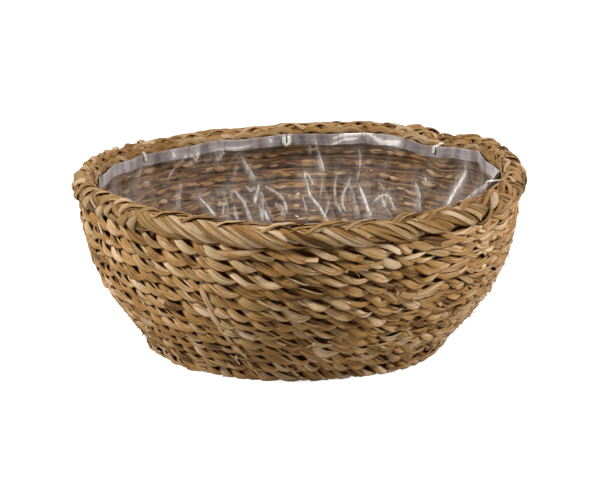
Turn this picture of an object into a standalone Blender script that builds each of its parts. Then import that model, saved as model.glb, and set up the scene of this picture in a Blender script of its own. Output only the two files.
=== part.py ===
"""A round bowl-shaped basket, twined over leaning stakes, with a film liner sewn in.

Stakes run out from the middle of the base, turn up and rise through the wall. Above
the wall each stake's end rolls once round the rim, under, inside, over and down the
outside, and the ends together make the thick slanted border. The main stakes spring
from a knot in the middle, and side stakes are slipped in between them further out.

Every course of the wall goes round twice. Its strand lies outside every second stake
the first time and, because the number of stakes is odd, outside the others the second
time, and the two rounds cross between the stakes.

Places on the wall are given by three numbers. The turn is counted in stake spacings,
the climb is the length along the wall's middle line from the base's corner, and the
offset is the distance outward from that line.
"""

from math import cos, hypot, pi, radians, sin

import bmesh
import bpy
from mathutils import Vector

# Driving sizes of the bowl, in metres
HEIGHT = 0.1155
RIM_RADIUS = 0.150
RIM_OVERHANG = 0.0012
BASE_RADIUS = 0.0985
CLEARANCE = 0.0003

# Power of the wall's curve: 1 is a straight cone, and more is a fuller bowl
WALL_FULLNESS = 2.45

# Stakes
MAIN_STAKE_COUNT = 17
SIDE_STAKE_COUNT = MAIN_STAKE_COUNT + 1
STAKE_COUNT = MAIN_STAKE_COUNT + SIDE_STAKE_COUNT
STAKE_THICKNESS = 0.0028
STAKE_WIDTH = 0.0036
STAKE_LEAN = radians(9)
STAKE_WALL_STEPS = 6
SIDE_STAKE_START = 0.048

# Weaving strands of the wall
COURSE_COUNT = 13
STRAND_THICKNESS = 0.0026
STRAND_BROAD_SHARE = 0.81
STRAND_NARROW_SHARE = 0.36
STRAND_DROP_SHARE = 0.30
CROSSING_SHARE = 0.48

# Rolled border
BORDER_HEIGHT = 0.0164
BORDER_STEPS = 6
BORDER_SIDE_SHARE = 0.79
BORDER_HEART = 0.0004
BORDER_LEAD_SHARE = 0.25
BORDER_NEST = 0.0012

# Base
START_KNOT_RADIUS = 0.0140
START_KNOT_ROUND = 0.0016
BASE_RISE = 0.0008
BASE_GROOVE = 0.0012
BASE_RING_WIDTH = 0.0086
FOOT_WIDTH = 0.0080
FOOT_INSET = 0.0010
BASE_SEGMENTS = 20
KNOT_SEGMENTS = 12

# Liner of thin film with a folded hem
FILM_THICKNESS = 0.0003
FILM_LEAD = 0.0080
HEM_RISE = 0.0013
HEM_HEIGHT = 0.0065
HEM_THICKNESS = 0.0009
LINER_WALL_STEPS = 5
LINER_CORNERS_PER_STITCH = 4

# Stitches through the hem
STITCH_COUNT = 7
FIRST_STITCH_STAKE = 2
THREAD_WIDTH = 0.0010
STITCH_TAIL = 0.0012
STITCH_TURN = FIRST_STITCH_STAKE + BORDER_LEAD_SHARE + 0.5

PROFILE_SAMPLES = 240


def outer_profile(share):
    """Outside of the wall at a share of the height, and the unit direction that climbs it."""
    spread = WALL_TOP_RADIUS - BASE_RADIUS
    left = max(0, 1 - share)
    point = (WALL_TOP_RADIUS - spread * left ** WALL_FULLNESS, HEIGHT * share)
    climb = (WALL_FULLNESS * spread * left ** (WALL_FULLNESS - 1), HEIGHT)
    length = hypot(*climb)
    return point, (climb[0] / length, climb[1] / length)


def inward_profile(share, depth):
    """The outside profile moved inward by a depth, square to the wall."""
    (radius, height), (climb_r, climb_z) = outer_profile(share)
    return radius - depth * climb_z, height + depth * climb_r


def stake_bow():
    """How far the wall bends away from a stake between two of the stake's bends."""
    worst = 0
    for step in range(STAKE_WALL_STEPS):
        first = outer_profile(step / STAKE_WALL_STEPS)[0]
        last = outer_profile((step + 1) / STAKE_WALL_STEPS)[0]
        middle = outer_profile((step + 0.5) / STAKE_WALL_STEPS)[0]
        worst = max(worst, hypot(middle[0] - (first[0] + last[0]) / 2,
                                 middle[1] - (first[1] + last[1]) / 2))
    return worst


WALL_TOP_RADIUS = RIM_RADIUS - RIM_OVERHANG
CHANNEL = STAKE_THICKNESS / 2 + CLEARANCE + stake_bow()
HALF_WALL = CHANNEL + STRAND_THICKNESS
BASE_LINE = STRAND_THICKNESS + CLEARANCE + STAKE_THICKNESS / 2
BASE_TOP = BASE_LINE + STAKE_THICKNESS / 2 + CLEARANCE + STRAND_THICKNESS
BORDER_TIP = BORDER_HEIGHT / 2
BORDER_WIDTH = BORDER_HEIGHT * cos(pi / BORDER_STEPS)
WALL_END = HEIGHT - BORDER_HEIGHT + BORDER_NEST
TURN_ANGLE = 2 * pi / STAKE_COUNT
HEM_RADIUS = RIM_RADIUS - BORDER_WIDTH - CLEARANCE
HEM_TOP = HEIGHT - BORDER_TIP + HEM_RISE


def share_at_height(height, depth):
    """Share of the outside profile whose inward point lies at the height given."""
    low, high = -0.5, 1.5
    for _ in range(60):
        middle = (low + high) / 2
        if inward_profile(middle, depth)[1] < height:
            low = middle
        else:
            high = middle
    return (low + high) / 2


def wall_line():
    """Samples of the wall's middle line: length so far, radius, height and climb."""
    first = share_at_height(BASE_LINE, HALF_WALL)
    last = share_at_height(WALL_END, HALF_WALL)
    samples = []
    length = 0
    for index in range(PROFILE_SAMPLES + 1):
        share = first + (last - first) * index / PROFILE_SAMPLES
        radius, height = inward_profile(share, HALF_WALL)
        if samples:
            length += hypot(radius - samples[-1][1], height - samples[-1][2])
        samples.append((length, radius, height) + outer_profile(share)[1])
    return samples


WALL_LINE = wall_line()
WALL_LENGTH = WALL_LINE[-1][0]
COURSE_PITCH = WALL_LENGTH / COURSE_COUNT


def wall_section(climb, offset):
    """Radius and height of a place on the wall, in the plane through the axis."""
    position = climb / WALL_LENGTH * PROFILE_SAMPLES
    index = min(max(int(position), 0), PROFILE_SAMPLES - 1)
    low = WALL_LINE[index]
    high = WALL_LINE[index + 1]
    share = position - index
    _, radius, height, climb_r, climb_z = [a + (b - a) * share for a, b in zip(low, high)]
    return radius + offset * climb_z, height - offset * climb_r


def swing(angle, radius, height):
    """A point at an angle round the axis, counted from the front to the right."""
    return Vector((radius * sin(angle), -radius * cos(angle), height))


def wall_point(turn, climb, offset):
    """A point of the wall, with the turn carried along by the lean of the stakes."""
    lean = STAKE_LEAN * (1 - climb / WALL_LENGTH)
    return swing(turn * TURN_ANGLE + lean, *wall_section(climb, offset))


def material(name, colour, roughness):
    """A Principled material with one plain colour."""
    made = bpy.data.materials.new(name)
    made.use_nodes = True
    shader = made.node_tree.nodes["Principled BSDF"]
    shader.inputs["Base Color"].default_value = (*colour, 1)
    shader.inputs["Roughness"].default_value = roughness
    shader.inputs["Metallic"].default_value = 0
    return made


def add_object(name, shape, finish, smooth_angle=None):
    """Turn a finished bmesh into a named object with its material."""
    bmesh.ops.recalc_face_normals(shape, faces=shape.faces)
    mesh = bpy.data.meshes.new(name)
    shape.to_mesh(mesh)
    shape.free()
    mesh.materials.append(finish)
    if smooth_angle is not None:
        mesh.shade_smooth()
        mesh.set_sharp_from_angle(angle=smooth_angle)
    bpy.context.collection.objects.link(bpy.data.objects.new(name, mesh))


def loft(shape, sections, closed):
    """Bridge a row of like sections into one tube, capped unless it closes on itself."""
    rings = [[shape.verts.new(point) for point in section] for section in sections]
    sides = len(sections[0])
    pairs = list(zip(rings, rings[1:]))
    if closed:
        pairs.append((rings[-1], rings[0]))
    for near, far in pairs:
        for side in range(sides):
            after = (side + 1) % sides
            shape.faces.new((near[side], near[after], far[after], far[side]))
    if not closed:
        shape.faces.new(rings[0])
        shape.faces.new(reversed(rings[-1]))


def turned(name, outline, segments, finish, smooth_angle, first_angle=0):
    """Turn a closed outline of radius and height round the axis."""
    shape = bmesh.new()
    rings = []
    for radius, height in outline:
        if radius == 0:
            rings.append([shape.verts.new((0, 0, height))] * segments)
        else:
            rings.append([shape.verts.new(swing(first_angle + 2 * pi * index / segments,
                                                radius, height))
                          for index in range(segments)])
    for ring, above in zip(rings, rings[1:] + rings[:1]):
        for index in range(segments):
            after = (index + 1) % segments
            corners = dict.fromkeys((ring[index], ring[after], above[after], above[index]))
            if len(corners) > 2:
                shape.faces.new(list(corners))
    add_object(name, shape, finish, smooth_angle)


def strand_sections(course):
    """Sections of a strand on its two rounds: broad outside one stake, narrow inside the next."""
    middle = (course + 0.5) * COURSE_PITCH
    broad = STRAND_BROAD_SHARE * COURSE_PITCH / 2
    narrow = STRAND_NARROW_SHARE * COURSE_PITCH / 2
    drop = STRAND_DROP_SHARE * COURSE_PITCH
    straight = 1 - cos((1 - CROSSING_SHARE) * TURN_ANGLE)
    inner = -HALF_WALL + wall_section(middle, 0)[0] * straight
    sections = []
    for stake in range(0, 2 * STAKE_COUNT, 2):
        for turn, climb, half, offset in (
                (stake, middle, broad, CHANNEL),
                (stake + CROSSING_SHARE, middle - drop, narrow, inner),
                (stake + 2 - CROSSING_SHARE, middle + drop, narrow, inner)):
            sections.append((wall_point(turn, climb + half, offset),
                             wall_point(turn, climb - half, offset),
                             wall_point(turn, climb, offset + STRAND_THICKNESS)))
    return sections


def weave_course(number, finish):
    """One course of the wall, twined about the stakes."""
    shape = bmesh.new()
    loft(shape, strand_sections(number), closed=True)
    add_object(f"weave_course_{number + 1:02d}", shape, finish)


def stake_start_section(turn, start):
    """The stake's square inner end, lying in the base."""
    angle = turn * TURN_ANGLE + STAKE_LEAN
    across = swing(angle + pi / 2, STAKE_WIDTH / 2, 0)
    upward = Vector((0, 0, STAKE_THICKNESS / 2))
    centre = swing(angle, start, BASE_LINE)
    return centre - upward, centre + across, centre + upward, centre - across


def stake_wall_section(turn, climb, thickness):
    """The stake's diamond section at a bend in the wall: outer, right, inner, left."""
    radius = wall_section(climb, 0)[0]
    aside = STAKE_WIDTH / 2 / radius / TURN_ANGLE
    outward = thickness / 2
    return (wall_point(turn, climb, outward), wall_point(turn + aside, climb, 0),
            wall_point(turn, climb, -outward), wall_point(turn - aside, climb, 0))


def border_point(angle, phase, reach):
    """A point in the border, by its phase round the roll: under, inside, over, outside."""
    centre_radius = RIM_RADIUS - BORDER_WIDTH / 2
    centre_height = HEIGHT - BORDER_TIP
    return swing(angle, centre_radius - reach * sin(phase), centre_height - reach * cos(phase))


def border_section(turn, step):
    """The kite-shaped section of a rolled stake end, one of three side by side."""
    angle = (turn + BORDER_LEAD_SHARE + step / 2) * TURN_ANGLE
    phase = 2 * pi * step / BORDER_STEPS
    side = BORDER_SIDE_SHARE * BORDER_TIP
    half = pi / 3 - CLEARANCE / side
    return (border_point(angle, phase - half, side), border_point(angle, phase, BORDER_TIP),
            border_point(angle, phase + half, side), border_point(angle, phase, BORDER_HEART))


def stake_sections(place, start):
    """Sections of one stake from the base, up the wall and once round the border."""
    sections = [stake_start_section(place, start)]
    bend = 1 / cos((pi / 2 - outer_profile(0)[1][0]) / 2)
    sections.append(stake_wall_section(place, 0, STAKE_THICKNESS * bend))
    top = WALL_LENGTH - BORDER_NEST - CLEARANCE
    for step in range(1, STAKE_WALL_STEPS + 1):
        climb = top * step / STAKE_WALL_STEPS
        sections.append(stake_wall_section(place, climb, STAKE_THICKNESS))
    for step in range(BORDER_STEPS):
        sections.append(border_section(place, step))
    return sections


def stake(name, place, start, finish):
    """One stake, from its start in the base to its rolled end in the border."""
    shape = bmesh.new()
    loft(shape, stake_sections(place, start), closed=False)
    add_object(name, shape, finish)


def stakes(finish):
    """Main stakes from the knot, side stakes between them, and the last side stake to spare."""
    for number in range(MAIN_STAKE_COUNT):
        stake(f"main_stake_{number + 1:02d}", 2 * number, START_KNOT_RADIUS + CLEARANCE, finish)
    for number in range(SIDE_STAKE_COUNT):
        place = min(2 * number + 1, STAKE_COUNT - 1)
        stake(f"side_stake_{number + 1:02d}", place, SIDE_STAKE_START, finish)


def start_knot(finish):
    """The plaited button in the middle of the base, from which the main stakes spring."""
    low, high, edge = BASE_RISE, BASE_TOP, START_KNOT_ROUND
    outline = [(0, low), (START_KNOT_RADIUS - edge, low), (START_KNOT_RADIUS, low + edge),
               (START_KNOT_RADIUS, high - edge), (START_KNOT_RADIUS - edge, high), (0, high)]
    turned("start_knot", outline, KNOT_SEGMENTS, finish, radians(50))


def base_rounds(first, last, crest, groove):
    """Rounds of the base in section, from one radius to another, with a groove beside each."""
    rounds = max(1, round(abs(last - first) / BASE_RING_WIDTH))
    width = (last - first) / rounds
    points = [(first, groove)]
    for number in range(rounds):
        points.append((first + width * (number + 0.5), crest))
        points.append((first + width * (number + 1), groove))
    return points


def base_weave_lower(finish):
    """The rounds under the stakes, raised a little inside the ring that stands on the ground."""
    inner = START_KNOT_RADIUS + CLEARANCE
    outer = BASE_RADIUS - FOOT_INSET
    foot = outer - FOOT_WIDTH
    outline = [(inner, STRAND_THICKNESS), (outer, STRAND_THICKNESS), (outer, 0), (foot, 0)]
    outline += base_rounds(foot, inner, BASE_RISE, BASE_RISE + BASE_GROOVE)
    turned("base_weave_lower", outline, BASE_SEGMENTS, finish, radians(30))


def base_weave_upper(finish):
    """The rounds that lie over the stakes, inside the lowest round of the wall."""
    inner = START_KNOT_RADIUS + CLEARANCE
    outer = wall_section(0, -HALF_WALL)[0] - CLEARANCE
    under = BASE_TOP - STRAND_THICKNESS
    outline = [(inner, under), (outer, under)]
    outline += base_rounds(outer, inner, BASE_TOP, BASE_TOP - BASE_GROOVE)
    turned("base_weave_upper", outline, BASE_SEGMENTS, finish, radians(30))


def liner_corner(height, depth):
    """Where the liner's wall meets its floor, by climb along the wall."""
    low, high = 0, WALL_LENGTH
    for _ in range(60):
        middle = (low + high) / 2
        if wall_section(middle, -depth)[1] < height:
            low = middle
        else:
            high = middle
    return (low + high) / 2


def liner_side(floor, depth, top):
    """The liner's floor corner and wall points at one depth inside the wall's line."""
    low = liner_corner(floor, depth)
    return [wall_section(low + (top - low) * step / LINER_WALL_STEPS, -depth)
            for step in range(LINER_WALL_STEPS + 1)]


def liner(finish):
    """One thin bowl of film that leaves the wall to end in a hem inside the border."""
    depth = HALF_WALL + CLEARANCE
    floor = BASE_TOP + CLEARANCE
    leave = WALL_LENGTH - BORDER_NEST - FILM_LEAD
    outside = [(0, floor)] + liner_side(floor, depth, leave)
    skin = liner_side(floor + FILM_THICKNESS, depth + FILM_THICKNESS, leave)
    hem_low = HEM_TOP - HEM_HEIGHT
    hem = [(HEM_RADIUS, hem_low), (HEM_RADIUS, HEM_TOP), (HEM_RADIUS - HEM_THICKNESS, HEM_TOP),
           (HEM_RADIUS - HEM_THICKNESS, hem_low), (HEM_RADIUS - FILM_THICKNESS, hem_low)]
    outline = outside + hem + skin[::-1] + [(0, floor + FILM_THICKNESS)]
    segments = STITCH_COUNT * LINER_CORNERS_PER_STITCH
    turned("liner", outline, segments, finish, radians(40), STITCH_TURN * TURN_ANGLE)


def stitch_sections(angle):
    """A thread that climbs the hem's inner face and turns out into a groove of the border."""
    half = THREAD_WIDTH / 2
    inside = HEM_RADIUS - HEM_THICKNESS - CLEARANCE - half
    groove = border_point(0, 2 * pi / 3, BORDER_SIDE_SHARE * BORDER_TIP)
    low = (inside, HEM_TOP - HEM_HEIGHT + STITCH_TAIL)
    high = (inside, HEM_TOP + CLEARANCE + half)
    end = (-groove.y - 2 * CLEARANCE - half, groove.z)
    across = swing(angle + pi / 2, half, 0)
    sections = []
    for radius, height in (low, high, end):
        centre = swing(angle, radius, height)
        outward = swing(angle, half, 0)
        sections.append((centre + outward, centre + across, centre - outward, centre - across))
    return sections


def stitches(finish):
    """The stitches that hang the liner from the border, each in the groove above a stake end."""
    for number in range(STITCH_COUNT):
        shape = bmesh.new()
        turn = round(number * STAKE_COUNT / STITCH_COUNT) + STITCH_TURN
        loft(shape, stitch_sections(turn * TURN_ANGLE), closed=False)
        add_object(f"liner_stitch_{number + 1}", shape, finish)


def clear_scene():
    """Remove whatever the file held before."""
    for old in list(bpy.data.objects):
        bpy.data.objects.remove(old, do_unlink=True)


def build():
    """Make every piece of the basket."""
    clear_scene()
    seagrass = material("seagrass", (0.49, 0.33, 0.15), 0.75)
    stake_grass = material("stake_grass", (0.55, 0.38, 0.18), 0.75)
    film = material("clear_film", (0.62, 0.62, 0.68), 0.25)
    thread = material("thread", (0.75, 0.72, 0.66), 0.6)
    start_knot(stake_grass)
    base_weave_lower(seagrass)
    base_weave_upper(seagrass)
    stakes(stake_grass)
    for number in range(COURSE_COUNT):
        weave_course(number, seagrass)
    liner(film)
    stitches(thread)


build()
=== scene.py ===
"""The looks of a round seagrass basket with a film liner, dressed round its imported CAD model.

The wall, the base and the rolled border are made of single grass leaves. Each leaf is a thin
folded strip that follows the path its strand takes in the CAD model. Places on the wall are
given as there: the turn is counted in stake spacings from the front to the right, the climb
is the length along the wall's middle line, and the offset is the distance outward from it.
"""

from math import cos, pi, radians, sin

import bpy
import numpy as np
from bpy.props import FloatProperty, FloatVectorProperty, IntProperty, PointerProperty
from mathutils import Matrix, Vector
from mathutils.geometry import delaunay_2d_cdt


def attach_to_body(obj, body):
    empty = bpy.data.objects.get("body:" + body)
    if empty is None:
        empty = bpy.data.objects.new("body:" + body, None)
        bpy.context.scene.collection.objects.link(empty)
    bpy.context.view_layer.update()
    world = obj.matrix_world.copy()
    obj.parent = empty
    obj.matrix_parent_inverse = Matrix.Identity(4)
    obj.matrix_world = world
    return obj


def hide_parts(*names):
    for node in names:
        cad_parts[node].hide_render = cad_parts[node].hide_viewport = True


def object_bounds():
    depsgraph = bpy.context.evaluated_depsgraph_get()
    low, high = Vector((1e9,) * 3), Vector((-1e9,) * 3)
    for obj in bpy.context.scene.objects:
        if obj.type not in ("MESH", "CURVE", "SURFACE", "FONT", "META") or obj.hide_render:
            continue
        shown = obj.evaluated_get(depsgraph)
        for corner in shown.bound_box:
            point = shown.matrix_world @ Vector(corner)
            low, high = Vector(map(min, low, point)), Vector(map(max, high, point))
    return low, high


bl_info = {
    "name": "Seagrass Basket",
    "version": (1, 0, 0),
    "blender": (4, 5, 0),
    "location": "View3D > Sidebar > Basket",
    "description": "Builds a twined seagrass basket with a rolled border and a sewn-in film liner",
    "category": "Add Mesh",
}

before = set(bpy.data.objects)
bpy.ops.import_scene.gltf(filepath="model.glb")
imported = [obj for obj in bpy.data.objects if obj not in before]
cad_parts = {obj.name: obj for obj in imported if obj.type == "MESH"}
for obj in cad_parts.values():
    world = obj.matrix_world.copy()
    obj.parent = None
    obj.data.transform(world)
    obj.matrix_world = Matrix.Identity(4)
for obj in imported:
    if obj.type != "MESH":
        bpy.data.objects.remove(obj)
CAD_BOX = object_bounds()
CAD_HEIGHT = CAD_BOX[1][2] - CAD_BOX[0][2]
CAD_RADIUS = (CAD_BOX[1][0] - CAD_BOX[0][0]) / 2

# Sizes that the part's source fixes, in metres
CLEARANCE = 0.0003
STAKE_THICKNESS = 0.0028
STRAND_THICKNESS = 0.0026
STAKE_BOW = 0.000335
CHANNEL = STAKE_THICKNESS / 2 + CLEARANCE + STAKE_BOW
HALF_WALL = CHANNEL + STRAND_THICKNESS
BASE_LINE = STRAND_THICKNESS + CLEARANCE + STAKE_THICKNESS / 2
BASE_TOP = BASE_LINE + STAKE_THICKNESS / 2 + CLEARANCE + STRAND_THICKNESS
BASE_RISE = 0.0008
FOOT_WIDTH = 0.0080
RIM_OVERHANG = 0.0012
BORDER_NEST = 0.0012
KNOT_RADIUS = 0.0140
SIDE_STAKE_START = 0.048
FILM_LEAD = 0.0080
HEM_RISE = 0.0013
HEM_HEIGHT = 0.0065
HEM_THICKNESS = 0.0009
# The border's lead over its stakes in stake spacings, and counts that the source fixes
BORDER_LEAD = 0.25
FIRST_STITCH_STAKE = 2
STITCH_COUNT = 7

# Units
MM = 0.001
FULL = 2 * pi

# Lowest place of a leaf, and how far over the solids' top one may stand
GROUND = 0.2 * MM
CREST_ROOM = 3.3 * MM
# How far the foot stands out beyond the solids
FOOT_FLARE = 3.4 * MM
# Folds sharper than this stay crisp in a leaf
SHARP_EDGE = radians(48)
KNOT_LAYERS = 6
STITCH_STEPS = 64
# Number of the stitch with the big loop, and how far round it is moved, as an angle
BIG_STITCH = 3
BIG_STITCH_SHIFT = 0.009
# A stitch's loop, half of its thread and its lowest point over the hem's top, in mm
BIG_LOOP = (2.1, 0.55, -5.6)
SMALL_LOOP = (0.7, 0.25, -3.6)
HEM_SAG = 1.2 * MM
# Length over which the round film takes on the hem's corners
HEM_BLEND = 16 * MM
# How much of the rim's uneven places the film follows
HEM_FOLLOWS = 0.45
FLOOR_ROWS = 16
LEAD_ROWS = 10
FILM_COLUMNS = 740
# How much closer the film's columns stand at the back than at the front
COLUMN_CROWDING = 0.66
# Mean radius on which the film's creases are laid out, and how many corners they have each way
CREASE_RADIUS = 0.12
CREASE_CORNERS = (46, 7)


def length_property(name, description, default, least=0):
    """A length to set in the sidebar."""
    return FloatProperty(name=name, description=description, default=default, min=least, unit="LENGTH")


def angle_property(name, description, degrees):
    """An angle to set in the sidebar."""
    return FloatProperty(name=name, description=description, default=radians(degrees), subtype="ANGLE")


def colour_property(name, description, default):
    """A colour to set in the sidebar."""
    return FloatVectorProperty(name=name, description=description, default=default, subtype="COLOR",
                               min=0, max=1)


class BasketShape(bpy.types.PropertyGroup):
    """Sizes of the bowl, the weave and the border."""

    height: length_property("Height", "From the ground to the top of the border", CAD_HEIGHT, 0.02)
    rim_radius: length_property("Rim Radius", "Outside radius over the border", CAD_RADIUS, 0.05)
    base_radius: length_property("Base Radius", "Outside radius of the wall at the ground", 0.0985, 0.03)
    fullness: FloatProperty(name="Fullness", description="Power of the wall's curve, 1 for a cone",
                            default=2.45, min=1)
    border_height: length_property("Border Height", "Thickness of the rolled border", 0.0164, 0.004)
    stake_count: IntProperty(name="Stakes", description="Number of stakes, which must be odd",
                             default=35, min=5)
    course_count: IntProperty(name="Courses", description="Rounds of weaving in the wall",
                              default=13, min=1)
    lean: angle_property("Stake Lean", "How far the stakes lean round the basket", 9)
    seed: IntProperty(name="Seed", description="Start of the random draws", default=7)


class GrassLook(bpy.types.PropertyGroup):
    """Colours of the grass and how lively it is."""

    pale: colour_property("Pale", "Sun-bleached leaf", (0.72, 0.53, 0.34))
    straw: colour_property("Straw", "Most of the grass", (0.40, 0.215, 0.070))
    brown: colour_property("Brown", "Darker leaf and its fibres", (0.070, 0.028, 0.006))
    rust: colour_property("Rust", "Orange-brown leaf margins", (0.27, 0.115, 0.028))
    sage: colour_property("Sage", "Greyish green dry leaf", (0.34, 0.255, 0.125))
    fibre_relief: length_property("Fibre Relief", "Depth of the fibre lines", 0.00022)


class LinerLook(bpy.types.PropertyGroup):
    """The film liner and its thread."""

    veil: colour_property("Veil", "Colour the film adds to what is behind it", (0.56, 0.47, 0.43))
    hem: colour_property("Hem", "Colour of the folded film", (0.47, 0.42, 0.43))
    thread: colour_property("Thread", "Colour of the stitches", (0.80, 0.78, 0.74))
    crumple: length_property("Crumple", "How far the film stands off the wall", 0.0030)


class StageLook(bpy.types.PropertyGroup):
    """Camera and light."""

    distance: length_property("Camera Distance", "From the camera to the basket", 1.6, 0.5)
    elevation: angle_property("Camera Elevation", "Height of the camera as an angle", 15.0)
    roll: angle_property("Camera Roll", "How far the camera leans to its left", 0.95)
    floor: colour_property("Floor", "Colour of the floor", (0.62, 0.62, 0.62))
    sky: FloatProperty(name="Sky", description="Strength of the even light", default=0.07, min=0)


def smooth(x):
    """A smooth step from 0 to 1."""
    x = np.clip(x, 0, 1)
    return x * x * (3 - 2 * x)


def bell(x, middle, width):
    """A smooth bump, 1 high at its middle."""
    return np.exp(-((x - middle) / width) ** 2)


def arch(share, power=1.0):
    """Up from 0 to 1 and down again, with a flatter top for a lower power."""
    return np.sin(pi * share) ** power


def unit(vectors):
    """Rows of vectors made one long."""
    return vectors / np.maximum(np.linalg.norm(vectors, axis=-1, keepdims=True), 1e-12)


def run_length(points):
    """The length along a line of points up to each of them."""
    return np.concatenate([[0], np.cumsum(np.linalg.norm(np.diff(points, axis=0), axis=1))])


def grid_quads(index):
    """Faces between rows of points that close round, from a grid of their numbers."""
    after = np.roll(index, -1, axis=1)
    return np.stack([index[:-1], index[1:], after[1:], after[:-1]], axis=-1).reshape(-1, 4).tolist()


def evened(line, times):
    """A line of points smoothed a number of times between its ends."""
    for _ in range(times):
        line[1:-1] = (line[:-2] + 2 * line[1:-1] + line[2:]) / 4
    return line


def swing(angle, radius, height):
    """Points at angles round the axis, counted from the front to the right."""
    angle, radius, height = np.broadcast_arrays(angle, radius, height)
    return np.stack([radius * np.sin(angle), -radius * np.cos(angle), height], axis=-1)


def through_knots(values, place, period):
    """Smooth curve through random values at whole places, the same after each period."""
    place = np.asarray(place, dtype=float)
    low = np.floor(place).astype(int)
    share = smooth(place - low)
    values = np.asarray(values)
    return values[low % period] * (1 - share) + values[(low + 1) % period] * share


class Waves:
    """A smooth random field over the angle round the basket and the share of the climb."""

    def __init__(self, rng, size, turns, climbs, count=9):
        self.turns = rng.integers(turns[0], turns[1] + 1, count)
        self.climbs = rng.uniform(-climbs, climbs, count)
        self.phases = rng.uniform(0, FULL, count)
        self.sizes = rng.uniform(0.5, 1, count)
        self.sizes *= size / np.sqrt((self.sizes ** 2).sum() / 2) / 2

    def __call__(self, angle, share):
        total = 0
        for turns, climbs, phase, size in zip(self.turns, self.climbs, self.phases, self.sizes):
            total = total + size * np.cos(turns * angle + climbs * share + phase)
        return total


# Uneven places that handwork left in the rim: middle and width in degrees, and mm up or outward
RIM_CORNERS = ((97, 15, 1.7), (118, 8, 2.6), (133, 6, -2.6), (152, 11, 2.2), (166, 10, 1.0))
RIM_BULGES = ((119, 10, 5.5), (156, 14, 2.5))
HIGHEST_LIFT = 2.7


def uneven(angle, places):
    """The sum of uneven places at an angle round the basket."""
    around = np.degrees(angle) % 360
    return sum(size * bell(around, middle, width) for middle, width, size in places)


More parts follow.
